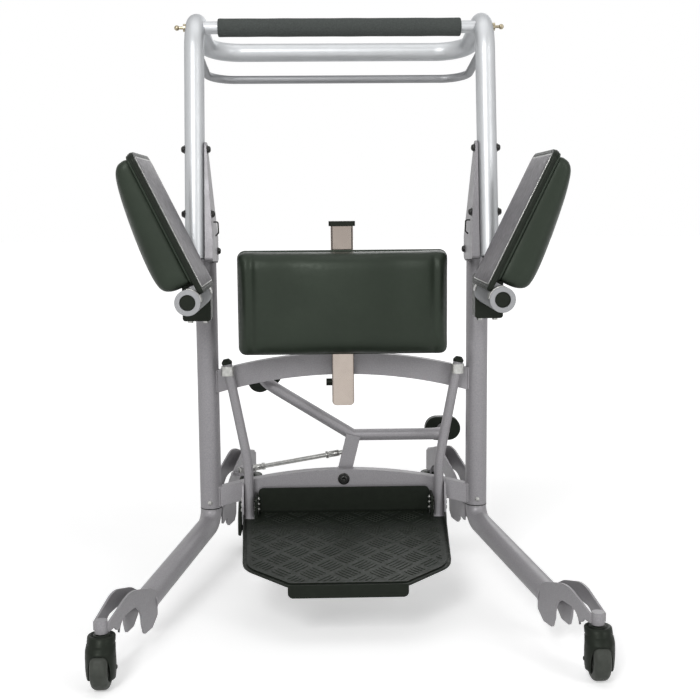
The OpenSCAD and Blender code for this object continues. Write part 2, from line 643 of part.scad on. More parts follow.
// Footplate
module plate_frame() translate([0, plate_y, plate_z]) rotate([plate_fall, 0, 0]) children();
notch_half_w = hanger_foot_x - hanger_d / 2 - 4;
notch_l = 36;
plate_front_w = plate_half_w - 13;
plate_corner_y = -plate_length * 0.776;
lip_half_w = 111;
plate_half = [[notch_half_w, 0, 1], [notch_half_w, -notch_l, 2], [plate_half_w, -notch_l, 5],
    [plate_front_w, plate_corner_y, 60], [lip_half_w, -plate_length, 14]];
ear_t = 4;
ear_depth = 30;
back_plate_half_w = notch_half_w - ear_t - 1;
flange_t = 3;
flange_back_h = 16;
flange_front_h = 5;
flange_turn = atan((plate_half_w - plate_front_w) / (-plate_corner_y - notch_l));
flange_l = (-plate_corner_y - notch_l) / cos(flange_turn) - 30;
module footplate() color(black) placed() difference() {
    union() {
        plate_frame() {
            translate([0, 0, -plate_t]) linear_extrude(plate_t) polygon(outline(both_halves(plate_half)));
            translate([0, -plate_length + plate_t, 0]) rotate([90, 0, 0]) linear_extrude(plate_t)
                polygon(outline(both_halves([[lip_half_w, 0, 0], [lip_half_w, -lip_h, 10]])));
            both_sides() translate([plate_half_w, -notch_l - 5, -plate_t]) rotate([0, 0, -flange_turn]) translate([-flange_t, 0, 0])
                rotate([90, 0, 90]) linear_extrude(flange_t)
                    polygon([[0, 0], [0, flange_back_h], [-flange_l, flange_front_h], [-flange_l, 0]]);
        }
        translate([0, plate_y + plate_t, 0]) rotate([90, 0, 0]) linear_extrude(plate_t)
            polygon(outline(both_halves([[back_plate_half_w, plate_z - plate_t, 0], [back_plate_half_w, plate_z + back_plate_h, 12]])));
        both_sides() side_plate(notch_half_w - ear_t, ear_t, [[plate_y + plate_t, plate_z - plate_t - 3, 0],
            [plate_y - ear_depth, plate_z - plate_t - 5, 3], [plate_y - ear_depth, plate_z + 38, 10], [plate_y + plate_t, plate_z + 42, 0]]);
    }
    both_sides() for (z = bracket_bolt_z)
        x_rod(notch_half_w - 2 * ear_t, notch_half_w + ear_t, hanger_y, z, bracket_bolt_d + 2 * weld_gap);
}
mat_t = 2;
mat_inset = 8;
bolt_head_t = 4;
mat_back_half_w = notch_half_w - ear_t - bolt_head_t - 3;
mat_half = [[mat_back_half_w, -2, 2], [mat_back_half_w, -notch_l - mat_inset, 2],
    [plate_half_w - mat_inset, -notch_l - mat_inset, 4], [plate_front_w - mat_inset, plate_corner_y, 56], [lip_half_w - 4, -plate_length + 6, 12]];
module tread_mat() color(rubber) placed() plate_frame() translate([0, 0, weld_gap]) linear_extrude(mat_t) polygon(outline(both_halves(mat_half)));

// Hangers that carry the footplate from the upper crossbar
hanger_y = -bar_depth / 2 - 9 - hanger_d / 2;
hanger_top_z = 474;
hanger_bend_z = 262;
hanger_bend_r = 260;
hanger_foot_z = 132;
hanger_path = [[hanger_top_x, hanger_y, hanger_top_z], [hanger_foot_x, hanger_y, hanger_bend_z], [hanger_foot_x, hanger_y, hanger_foot_z]];
bracket_bolt_z = [164, 175, 186];
bracket_bolt_d = 6;
module footplate_hangers() color(paint) placed() both_sides() difference() {
    bent_tube(hanger_path, hanger_bend_r, hanger_d);
    for (z = bracket_bolt_z) x_rod(hanger_foot_x - hanger_d, hanger_foot_x + hanger_d, hanger_y, z, bracket_bolt_d + 2 * weld_gap);
}
fitting_d = hanger_d + 7;
fitting_h = 20;
module hanger_fittings() color(steel) placed() both_sides() difference() {
    union() {
        translate([hanger_top_x - 1, hanger_y, hanger_top_z - fitting_h - 4]) cylinder(d = fitting_d, h = fitting_h);
        translate([hanger_top_x - 10, hanger_y, hanger_top_z - fitting_h - 4]) cube([18, -hanger_y - bar_depth / 2, 13]);
    }
    rod(hanger_path[1], hanger_path[0] + unit(hanger_path[0] - hanger_path[1]) * hanger_d, hanger_d + 2 * weld_gap);
}
module hanger_caps() color(black) placed() both_sides()
    along(hanger_path[0], 2 * hanger_path[0] - hanger_path[1]) {
        cylinder(d = hanger_d + 2, h = 5);
        translate([0, 0, 5]) cylinder(d1 = hanger_d + 2, d2 = hanger_d * 0.6, h = 6);
    }
side_bracket_x = hanger_foot_x + hanger_d / 2 + 0.2;
side_bracket_t = 4;
module footplate_brackets() color(paint) placed() both_sides() difference() {
    side_plate(side_bracket_x, side_bracket_t, [[-bar_depth / 2 - weld_gap, lower_bar_z + 34, 2], [hanger_y - 8, lower_bar_z + 34, 12],
        [hanger_y - 22, bracket_bolt_z[0] + 12, 12], [hanger_y - 22, bracket_bolt_z[0] - 28, 6],
        [hanger_y + 12, bracket_bolt_z[0] - 28, 6], [-bar_depth / 2 - weld_gap, lower_bar_z - 6, 4]]);
    for (z = bracket_bolt_z) x_rod(side_bracket_x - 1, side_bracket_x + side_bracket_t + 1, hanger_y, z, bracket_bolt_d + 2 * weld_gap);
}
module footplate_bolts() color(steel) placed() both_sides() for (z = bracket_bolt_z) {
    x_rod(notch_half_w - ear_t, side_bracket_x + side_bracket_t, hanger_y, z, bracket_bolt_d);
    translate([side_bracket_x + side_bracket_t, hanger_y, z]) rotate([0, 90, 0]) dome_head(10, bolt_head_t);
    x_rod(notch_half_w - ear_t - bolt_head_t, notch_half_w - ear_t, hanger_y, z, 9);
}

// Leg opening pedal behind the lower crossbar
pivot_end_y = hub_y + hub_t + 0.6;
module pivot_bolt() color(steel) placed() {
    y_rod(-bar_depth / 2 - 5, pivot_end_y + 6, 0, pivot_z, pivot_d);
    translate([0, -bar_depth / 2, pivot_z]) rotate([90, 0, 0]) dome_head(22, 6);
    translate([0, pivot_end_y + 6, pivot_z]) rotate([90, 0, 0]) cylinder(d = 19, h = 6, $fn = 6);
}
// Point at distance r from the pivot, turned a degrees to the right of straight up
function from_pivot(r, a, y) = [r * sin(a), y, pivot_z + r * cos(a)];
hub_d = 44;
stem_w = 30;
v_tube_y = hub_y + hub_t + v_tube_d / 2 - 2;
vertex = from_pivot(vertex_arm, pedal_lean, v_tube_y);
high_slope = 32;
pad_reach = 70;
low_end = vertex + [low_arm, 0, 0];
high_end = vertex + high_arm * [-cos(high_slope), 0, sin(high_slope)];
pin_end_gap = 5;
module tie_pin(a) {
    p = from_pivot(tie_arm, a, hub_y);
    translate(p) rotate([-90, 0, 0]) cylinder(d = tie_pin_d, h = rod_y - hub_y + tie_d / 2 + pin_end_gap);
    translate([p[0], rod_y + tie_d / 2 + pin_end_gap, p[2]]) rotate([-90, 0, 0]) cylinder(d = tie_pin_d + 4, h = 3);
}
module pedal_lever() color(paint) placed() difference() {
    union() {
        y_rod(hub_y, hub_y + hub_t, 0, pivot_z, hub_d);
        translate([0, hub_y, pivot_z]) rotate([0, pedal_lean, 0]) translate([-stem_w / 2, 0, -tie_arm - 12])
            cube([stem_w, hub_t, vertex_arm + tie_arm + 14]);
        tie_pin(pedal_lean);
        tie_pin(pedal_lean + 180);
        bent_tube([vertex, low_end, low_end + [0, pad_reach, 0]], 34, v_tube_d);
        bent_tube([vertex, high_end, high_end + [0, pad_reach, 0]], 34, v_tube_d);
        translate(vertex) sphere(d = v_tube_d);
    }
    y_rod(hub_y - 1, hub_y + hub_t + 1, 0, pivot_z, pivot_d + 2 * run_fit);
}
pedal_pad_d = 52;
pedal_pad_l = 26;
pedal_pad_t = 20;
module pedal_pad(p, turn) translate(p) rotate([0, turn, 0]) rotate([-90, 0, 0]) difference() {
    union() {
        for (dx = [-1, 1]) translate([dx * pedal_pad_l / 2, 0, -pedal_pad_t + 6]) cylinder(d = pedal_pad_d, h = pedal_pad_t);
        translate([-pedal_pad_l / 2, -pedal_pad_d / 2, -pedal_pad_t + 6]) cube([pedal_pad_l, pedal_pad_d, pedal_pad_t]);
    }
    translate([0, 0, -pedal_pad_t]) cylinder(d = v_tube_d + 2 * weld_gap, h = pedal_pad_t);
}
module pedal_pads() color(rubber) placed() {
    pedal_pad(low_end + [0, pad_reach, 0], 0);
    pedal_pad(high_end + [0, pad_reach, 0], -high_slope);
}

// Legs: each turns about its column, so it is drawn straight and then opened
module leg(side) placed() on_side(side) translate([column_x, 0, 0]) rotate([0, 0, leg_open]) children();
leg_bend_r = 36;
spigot_h = 64;
leg_fall = atan((elbow_z - leg_end_z) / leg_reach);
leg_path = [[0, 0, seam_z - slide_gap], [0, 0, elbow_z], [0, -leg_reach, leg_end_z]];
module leg_tube(side) color(paint) leg(side) difference() {
    union() {
        bent_tube(leg_path, leg_bend_r, leg_d);
        translate([0, 0, seam_z - slide_gap]) cylinder(d = column_bore - 2 * run_fit, h = spigot_h);
    }
    translate([0, 0, screw_z - screw_d]) difference() {
        cylinder(d = column_bore + 2, h = 2 * screw_d);
        translate([0, 0, -1]) cylinder(d = column_bore - 4 * screw_tip, h = 2 * screw_d + 2);
    }
}
module left_leg_tube() leg_tube(-1);
module right_leg_tube() leg_tube(1);
// Arch plates in the leg's own frame, drawn as [reach, height], closest together at the castor
front_splay = 1.9;
rear_splay = 1.4;
module arch_plates(pts, stem_y, splay) for (side = [-1, 1])
    translate([side * (arch_gap + arch_t) / 2, stem_y, 0]) rotate([0, 0, side * splay]) translate([0, -stem_y, 0])
        rotate([90, 0, -90]) linear_extrude(arch_t, center = true) polygon(outline(pts));
module stem_boss(y, span) translate([0, y, span[0]]) difference() {
    cylinder(d = boss_d, h = span[1] - span[0]);
    translate([0, 0, -1]) cylinder(d = stem_d + 2 * run_fit, h = span[1] - span[0] - boss_roof + 1);
}
front_arch_points = [[leg_reach - 4, 56, 8], [leg_reach + 20, 40, 6], [leg_reach + 54, 40, 6], [leg_reach + 62, 60, 4],
    [leg_reach + 66, 103, 36], [front_stem - 44, 103, 30], [front_stem - 40, 87, 4], [front_stem - 31, 87, 4],
    [front_stem - 22, front_boss[0] + 3, 4], [front_stem, front_boss[0] + 3, 0], [front_stem, front_boss[1] - 4, 0],
    [front_stem - 85, 138, 90], [leg_reach + 26, 116, 60], [leg_reach - 4, 100, 6]];
module front_arch(side) color(paint) leg(side) difference() {
    union() {
        arch_plates(front_arch_points, -front_stem, -front_splay);
        translate([0, -front_stem, front_boss[0]]) cylinder(d = boss_d, h = front_boss[1] - front_boss[0]);
    }
    rod([0, 0, elbow_z], [0, -leg_reach, leg_end_z] + [0, -cos(leg_fall), -sin(leg_fall)] * weld_gap, leg_d + 2 * weld_gap);
    translate([0, -front_stem, front_boss[0] - 1]) cylinder(d = stem_d + 2 * run_fit, h = front_boss[1] - front_boss[0] - boss_roof + 1);
}
module left_front_arch() front_arch(-1);
module right_front_arch() front_arch(1);
rear_arch_points = [[-12, 122, 4], [-46, 128, 4], [-46, 116, 4], [-58, 107, 5], [-98, 107, 5], [-112, 120, 6], [-118, 196, 52],
    [-rear_stem + 36, 200, 44], [-rear_stem + 30, 182, 4], [-rear_stem + 18, rear_boss[0] + 6, 4], [-rear_stem, rear_boss[0] + 6, 0],
    [-rear_stem, rear_boss[1] - 3, 0], [-rear_stem + 90, 252, 80], [-74, 206, 70], [-28, 158, 16], [-12, 158, 3]];
module rear_arch(side, lug_z) color(paint) leg(side) difference() {
    union() {
        arch_plates(rear_arch_points, rear_stem, rear_splay);
        translate([0, rear_stem, rear_boss[0]]) cylinder(d = boss_d, h = rear_boss[1] - rear_boss[0]);
        translate([lug_x, lug_y - tie_eye_d / 2, lug_z]) cube([-lug_x - arch_gap / 2 - 1, tie_eye_d, lug_t]);
        translate([lug_x, lug_y, lug_z]) cylinder(d = tie_eye_d, h = lug_t);
        translate([lug_x, lug_y, lug_z]) cylinder(d = tie_pin_d, h = lug_t + tie_d + 2 * slide_gap);
        translate([lug_x, lug_y, lug_z + lug_t + tie_d + 2 * slide_gap]) cylinder(d = tie_pin_d + 6, h = 3);
    }
    cylinder(d = leg_d + 2 * weld_gap, h = seam_z);
    translate([0, 0, seam_z - 2]) cylinder(d = column_d + 4, h = rear_boss[1]);
    translate([0, rear_stem, rear_boss[0] - 1]) cylinder(d = stem_d + 2 * run_fit, h = rear_boss[1] - rear_boss[0] - boss_roof + 1);
}
module left_rear_arch() rear_arch(-1, left_lug_z);
module right_rear_arch() rear_arch(1, right_lug_z);

// Tie rods between the pedal and the rear arches
function leg_point(x, y, z) = [column_x + x * cos(leg_open) - y * sin(leg_open), x * sin(leg_open) + y * cos(leg_open), z];
module tie_rod(side, pin, lug_z) {
    eye = leg_point(lug_x, lug_y, lug_z + lug_t + slide_gap + tie_d / 2);
    outer = [side * eye[0], eye[1], eye[2]];
    inner = [pin[0], rod_y, pin[2]];
    difference() {
        union() {
            rod(outer, inner, tie_d);
            translate([outer[0], outer[1], outer[2] - tie_d / 2]) cylinder(d = tie_eye_d, h = tie_d);
            y_rod(rod_y - tie_d / 2, rod_y + tie_d / 2, inner[0], inner[2], tie_eye_d + 2);
        }
        translate([outer[0], outer[1], outer[2] - tie_d]) cylinder(d = tie_pin_d + 2 * run_fit, h = 2 * tie_d);
        difference() {
            translate([outer[0], outer[1], outer[2] - 2 * tie_d]) cylinder(d = tie_eye_d, h = 4 * tie_d);
            translate([outer[0], outer[1], outer[2] - tie_d / 2]) cylinder(d = 2 * tie_eye_d, h = tie_d);
        }
        y_rod(rod_y - tie_d, rod_y + tie_d, inner[0], inner[2], tie_pin_d + 2 * tie_play);
    }
}
module left_tie_rod() color(steel) placed() tie_rod(-1, from_pivot(tie_arm, pedal_lean, 0), left_lug_z);
module right_tie_rod() color(steel) placed() tie_rod(1, from_pivot(tie_arm, pedal_lean + 180, 0), right_lug_z);

// Castors, drawn with the swivel axis on Z and the wheel trailing towards -Y
module castor(side, reach) placed() on_side(side) translate(leg_point(0, -reach, 0)) children();
axle_d = 8;
cheek_gap = 1.5;
cheek_t = 7;
hood_round = 9;
cavity_round = 6;
// Drum about the wheel's axle with rounded edges
module drum(r, half_w, round) rotate([0, 90, 0]) rotate_extrude()
    polygon(outline([[0, -half_w, 0], [r, -half_w, round], [r, half_w, round], [0, half_w, 0]]));
module castor_fork(r, w, trail, cap_z, cap_d, cap_h, stem_top, skirt_z, mouth_z, hood_d) {
    inside = w / 2 + cheek_gap;
    outside = inside + cheek_t;
    difference() {
        union() {
            translate([0, 0, cap_z - cap_h]) cylinder(d = cap_d, h = cap_h);
            intersection() {
                translate([0, -trail, r]) drum(r + tread_gap + hood_wall, outside, hood_round);
                translate([0, -trail, 0]) cylinder(d = hood_d, h = 3 * r);
            }
        }
        translate([0, -trail, r]) drum(r + tread_gap, inside, cavity_round);
        box([-outside - 1, -trail - 2 * r, -r], [outside + 1, 2 * r - trail, skirt_z]);
        box([-inside, -trail - 2 * r, -r], [inside, -trail, mouth_z - inside]);
        y_rod(-trail - 2 * r, -trail, 0, mouth_z - inside, 2 * inside);
    }
    x_rod(-inside - 1, inside + 1, -trail, r, axle_d);
    for (x = [-outside, inside]) x_rod(x, x + cheek_t, -trail, r, 24);
    translate([0, 0, cap_z - 1]) cylinder(d = stem_d, h = stem_top - cap_z + 1);
}
front_hood_d = 62;
front_skirt_z = 21;
front_mouth_z = 52;
rear_skirt_z = 48;
rear_mouth_z = 84;
front_cap_d = 50;
rear_cap_d = 54;
module front_fork(side) color(black) castor(side, front_stem)
    castor_fork(front_wheel_r, front_wheel_w, front_trail, front_cap_z, front_cap_d, 14, front_boss[1] - boss_roof - 1,
        front_skirt_z, front_mouth_z, front_hood_d);
module left_front_fork() front_fork(-1);
module right_front_fork() front_fork(1);
brake_y = -46;
brake_z = 152;
brake_pin_d = 5;
brake_half_w = 16;
ear_half = brake_half_w + 0.5;
module rear_fork(side) color(black) castor(side, -rear_stem) {
    castor_fork(rear_wheel_r, rear_wheel_w, rear_trail, rear_cap_z, rear_cap_d, 50, rear_boss[1] - boss_roof - 1,
        rear_skirt_z, rear_mouth_z, 2 * rear_hood_r + 1);
    for (x = [-ear_half - 4, ear_half]) translate([x, brake_y - 8, 2 * rear_wheel_r - 2]) cube([4, 16 + 12, brake_z + 8 - 2 * rear_wheel_r + 2]);
    x_rod(-ear_half - 1, ear_half + 1, brake_y, brake_z, brake_pin_d);
}
module left_rear_fork() rear_fork(-1);
module right_rear_fork() rear_fork(1);
pedal_slope = 14;
module brake_pedal(side) color(black) castor(side, -rear_stem) difference() {
    union() {
        x_rod(-brake_half_w, brake_half_w, brake_y, brake_z, 12);
        translate([0, brake_y, brake_z]) rotate([-pedal_slope, 0, 0]) translate([-brake_half_w + 0.5, -44, -3]) cube([2 * brake_half_w - 1, 40.5, 6]);
    }
    x_rod(-brake_half_w - 1, brake_half_w + 1, brake_y, brake_z, brake_pin_d + 2 * run_fit);
}
module left_brake_pedal() brake_pedal(-1);
module right_brake_pedal() brake_pedal(1);
module wheel(r, w, trail) translate([0, -trail, r]) rotate([0, 90, 0]) rotate_extrude()
    polygon(outline([[axle_d / 2 + run_fit, -w / 2, 0], [axle_d / 2 + 7, -w / 2, 1], [axle_d / 2 + 9, -w / 4, 2], [r * 0.62, -w / 4, 2],
        [r * 0.68, -w / 2 + 1, 1.5], [r, -w / 2 + 1, w * 0.3], [r, w / 2 - 1, w * 0.3], [r * 0.68, w / 2 - 1, 1.5],
        [r * 0.62, w / 4, 2], [axle_d / 2 + 9, w / 4, 2], [axle_d / 2 + 7, w / 2, 1], [axle_d / 2 + run_fit, w / 2, 0]]));
module front_wheel(side) color(rubber) castor(side, front_stem) wheel(front_wheel_r, front_wheel_w, front_trail);
module rear_wheel(side) color(rubber) castor(side, -rear_stem) wheel(rear_wheel_r, rear_wheel_w, rear_trail);
module left_front_wheel() front_wheel(-1);
module right_front_wheel() front_wheel(1);
module left_rear_wheel() rear_wheel(-1);
module right_rear_wheel() rear_wheel(1);

left_column();
right_column();
column_caps();
column_screws();
upper_crossbar();
lower_crossbar();
handle_frame();
lower_grip_loop();
grip_bar();
grip_foam();
strap_studs();
gusset_plates();
gusset_bolts();
belt_hooks();
upright_spigots();
hinge_blocks();
hinge_block_bolts();
seat_shafts();
shaft_plugs();
left_seat_sleeve();
right_seat_sleeve();
left_seat_board();
right_seat_board();
left_seat_cushion();
right_seat_cushion();
mast_bracket();
mast_latch();
knee_mast();
mast_cap();
knee_backplate();
knee_pad();
footplate();
tread_mat();
footplate_hangers();
hanger_fittings();
hanger_caps();
footplate_brackets();
footplate_bolts();
pivot_bolt();
pedal_lever();
pedal_pads();
left_tie_rod();
right_tie_rod();
left_leg_tube();
right_leg_tube();
left_front_arch();
right_front_arch();
left_rear_arch();
right_rear_arch();
left_front_fork();
right_front_fork();
left_rear_fork();
right_rear_fork();
left_front_wheel();
right_front_wheel();
left_rear_wheel();
right_rear_wheel();
left_brake_pedal();
right_brake_pedal();
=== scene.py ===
"""Looks of the patient turner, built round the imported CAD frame.

Materials, padded parts, tread, trim, fasteners, light and camera.
"""

import json
import math

import bmesh
import bpy
import numpy as np
from mathutils import Matrix, Vector


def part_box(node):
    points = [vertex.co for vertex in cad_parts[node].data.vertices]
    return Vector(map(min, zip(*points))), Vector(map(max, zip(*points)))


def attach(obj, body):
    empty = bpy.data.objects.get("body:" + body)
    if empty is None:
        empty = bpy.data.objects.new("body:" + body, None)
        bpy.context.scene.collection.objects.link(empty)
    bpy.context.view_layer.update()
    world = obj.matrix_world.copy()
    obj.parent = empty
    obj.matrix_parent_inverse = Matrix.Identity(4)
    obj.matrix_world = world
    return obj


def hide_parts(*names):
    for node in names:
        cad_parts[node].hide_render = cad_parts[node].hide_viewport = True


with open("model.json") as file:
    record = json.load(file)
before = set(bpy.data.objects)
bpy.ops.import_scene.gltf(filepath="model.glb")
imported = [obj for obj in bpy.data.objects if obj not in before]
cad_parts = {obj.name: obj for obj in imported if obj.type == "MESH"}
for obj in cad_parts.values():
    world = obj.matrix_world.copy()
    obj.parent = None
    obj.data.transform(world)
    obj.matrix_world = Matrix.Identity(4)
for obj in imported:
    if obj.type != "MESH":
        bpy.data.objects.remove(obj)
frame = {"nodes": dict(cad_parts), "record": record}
nodes = frame["nodes"]
scene = bpy.context.scene
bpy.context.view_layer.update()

SIDES = (("left", -1), ("right", 1))

# Fore and aft place of the columns' axes in the row frame
COLUMN_Y = (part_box("left_column")[0].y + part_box("left_column")[1].y) / 2

# Sizes repeated from the part's source, in millimetres
COLUMN_X, COLUMN_R, SEAM_Z = 283, 22.5, 164
UPPER_BAR, LOWER_BAR, BAR_DEPTH = (435, 45), (188, 40), 25
UPRIGHT_Y, UPRIGHT_FOOT_Z, UPRIGHT_LEAN = -100, 695, math.radians(10)
LEG_OPEN, ELBOW_Z, LEG_REACH, LEG_END_Z = math.radians(14), 131, 366, 82
FRONT_STEM, FRONT_TRAIL, FRONT_WHEEL_R, FRONT_CAP_Z = 557, 10, 37.5, 90
REAR_STEM, REAR_TRAIL, REAR_WHEEL_R, REAR_CAP_Z = 280, 34, 62.5, 169
PIVOT_Z, PEDAL_LEAN, TIE_ARM, TIE_Y = 223, math.radians(14), 51, 37
SEAT_X, SEAT_Z, SEAT_RAISE = 283, 628, math.radians(116)
BOARD, BOARD_TOP, BOARD_T = (4, 281, -343, -133), -24.5, 10
PLATE_Y, PLATE_Z, PLATE_FALL = -25, 156, math.radians(7.4)


# Shader helpers

def linear(c):
    """Linear colour from sRGB values of up to 255."""
    return tuple(((v / 255 + 0.055) / 1.055) ** 2.4 if v > 10 else v / 255 / 12.92 for v in c) + (1.0,)


def set_inputs(node, **values):
    """Sets a node's inputs; an underscore in a name stands for a space."""
    for key, v in values.items():
        node.inputs[key.replace("_", " ")].default_value = v


def new_node(tree, kind, **values):
    node = tree.nodes.new("ShaderNode" + kind)
    set_inputs(node, **values)
    return node


def joined(tree, operation, a, b):
    """Output of a math node on two sockets."""
    node = new_node(tree, "Math")
    node.operation = operation
    tree.links.new(a, node.inputs[0])
    tree.links.new(b, node.inputs[1])
    return node.outputs["Value"]


def mapped(tree, socket, span, result, interpolation="LINEAR"):
    """A socket's values from one span, carried over to another."""
    node = new_node(tree, "MapRange", From_Min=span[0], From_Max=span[1], To_Min=result[0], To_Max=result[1])
    node.interpolation_type = interpolation
    tree.links.new(socket, node.inputs["Value"])
    return node.outputs["Result"]


class Surface:
    """A procedural material with helpers that wire noise into colour, roughness and bump."""

    # Middle part of a noise's values, which most of its area has
    MIDDLE = (0.3, 0.7)

    def __init__(self, name, color, rough, metal=0.0):
        self.mat = bpy.data.materials.new(name)
        self.mat.use_nodes = True
        self.tree = self.mat.node_tree
        self.link = self.tree.links.new
        self.bsdf = self.tree.nodes["Principled BSDF"]
        self.color = linear(color)
        self.set(Base_Color=self.color, Roughness=rough, Metallic=metal)
        self.coord = new_node(self.tree, "TexCoord").outputs["Object"]
        self.normal = None

    def set(self, **values):
        set_inputs(self.bsdf, **values)
        return self

    def soft_edges(self, radius):
        """Rounds the look of sharp CAD edges and keeps a mask that drops below 1 along them."""
        bevel = new_node(self.tree, "Bevel", Radius=radius)
        bevel.samples = 4
        self.normal = bevel.outputs["Normal"]
        self.link(self.normal, self.bsdf.inputs["Normal"])
        dot = new_node(self.tree, "VectorMath")
        dot.operation = "DOT_PRODUCT"
        self.link(self.normal, dot.inputs[0])
        self.link(new_node(self.tree, "NewGeometry").outputs["True Normal"], dot.inputs[1])
        self.edge = dot.outputs["Value"]
        return self

    def worn(self, amount, light):
        """Lightens the colour where the edge mask and a noise meet, as rubbed paint does."""
        whole = self.bsdf.inputs["Base Color"].links[0].from_socket
        rubbed = mapped(self.tree, self.edge, (0.985, 0.90), (0.0, amount))
        mix = new_node(self.tree, "Mix")
        mix.data_type = "RGBA"
        # The colour sockets share their names with the number sockets, so they are taken by place
        self.link(joined(self.tree, "MULTIPLY", rubbed, self.noise(38, 5, 0.7)), mix.inputs[0])
        self.link(whole, mix.inputs[6])
        mix.inputs[7].default_value = linear(light)
        self.link(mix.outputs[2], self.bsdf.inputs["Base Color"])
        return self

    def noise(self, scale, detail=3.0, rough=0.6, stretch=None):
        n = new_node(self.tree, "TexNoise", Scale=scale, Detail=detail, Roughness=rough)
        coord = self.coord
        if stretch:
            m = new_node(self.tree, "Mapping", Scale=stretch)
            self.link(coord, m.inputs["Vector"])
            coord = m.outputs["Vector"]
        self.link(coord, n.inputs["Vector"])
        return n.outputs["Fac"]

    def cells(self, scale, feature="DISTANCE_TO_EDGE"):
        n = new_node(self.tree, "TexVoronoi", Scale=scale)
        n.feature = feature
        self.link(self.coord, n.inputs["Vector"])
        return n.outputs["Distance"]

    def tint(self, fac, dark, light, span=MIDDLE):
        """Varies the colour between two multiples of itself."""
        ramp = new_node(self.tree, "ValToRGB")
        for stop, place, share in zip(ramp.color_ramp.elements, span, (dark, light)):
            stop.position = place
            stop.color = tuple(min(1, c * share) for c in self.color[:3]) + (1,)
        self.link(fac, ramp.inputs["Fac"])
        self.link(ramp.outputs["Color"], self.bsdf.inputs["Base Color"])
        return self

    def gloss(self, fac, low, high):
        """Varies the roughness."""
        self.link(mapped(self.tree, fac, self.MIDDLE, (low, high)), self.bsdf.inputs["Roughness"])
        return self

    def bump(self, fac, depth, strength):
        b = new_node(self.tree, "Bump", Distance=depth, Strength=strength)
        self.link(fac, b.inputs["Height"])
        if self.normal:
            self.link(self.normal, b.inputs["Normal"])
        self.normal = b.outputs["Normal"]
        self.link(self.normal, self.bsdf.inputs["Normal"])
        return self


# Materials

def satin(name, color, rough, low, high):
    s = Surface(name, color, rough, 0.6).soft_edges(0.0008)
    s.tint(s.noise(14, 4), 0.95, 1.04).gloss(s.noise(55, 4), low, high).bump(s.noise(700, 2), 0.00001, 0.3)
    return s.set(Specular_IOR_Level=0.25, Specular_Tint=(0.35, 0.36, 0.37, 1))


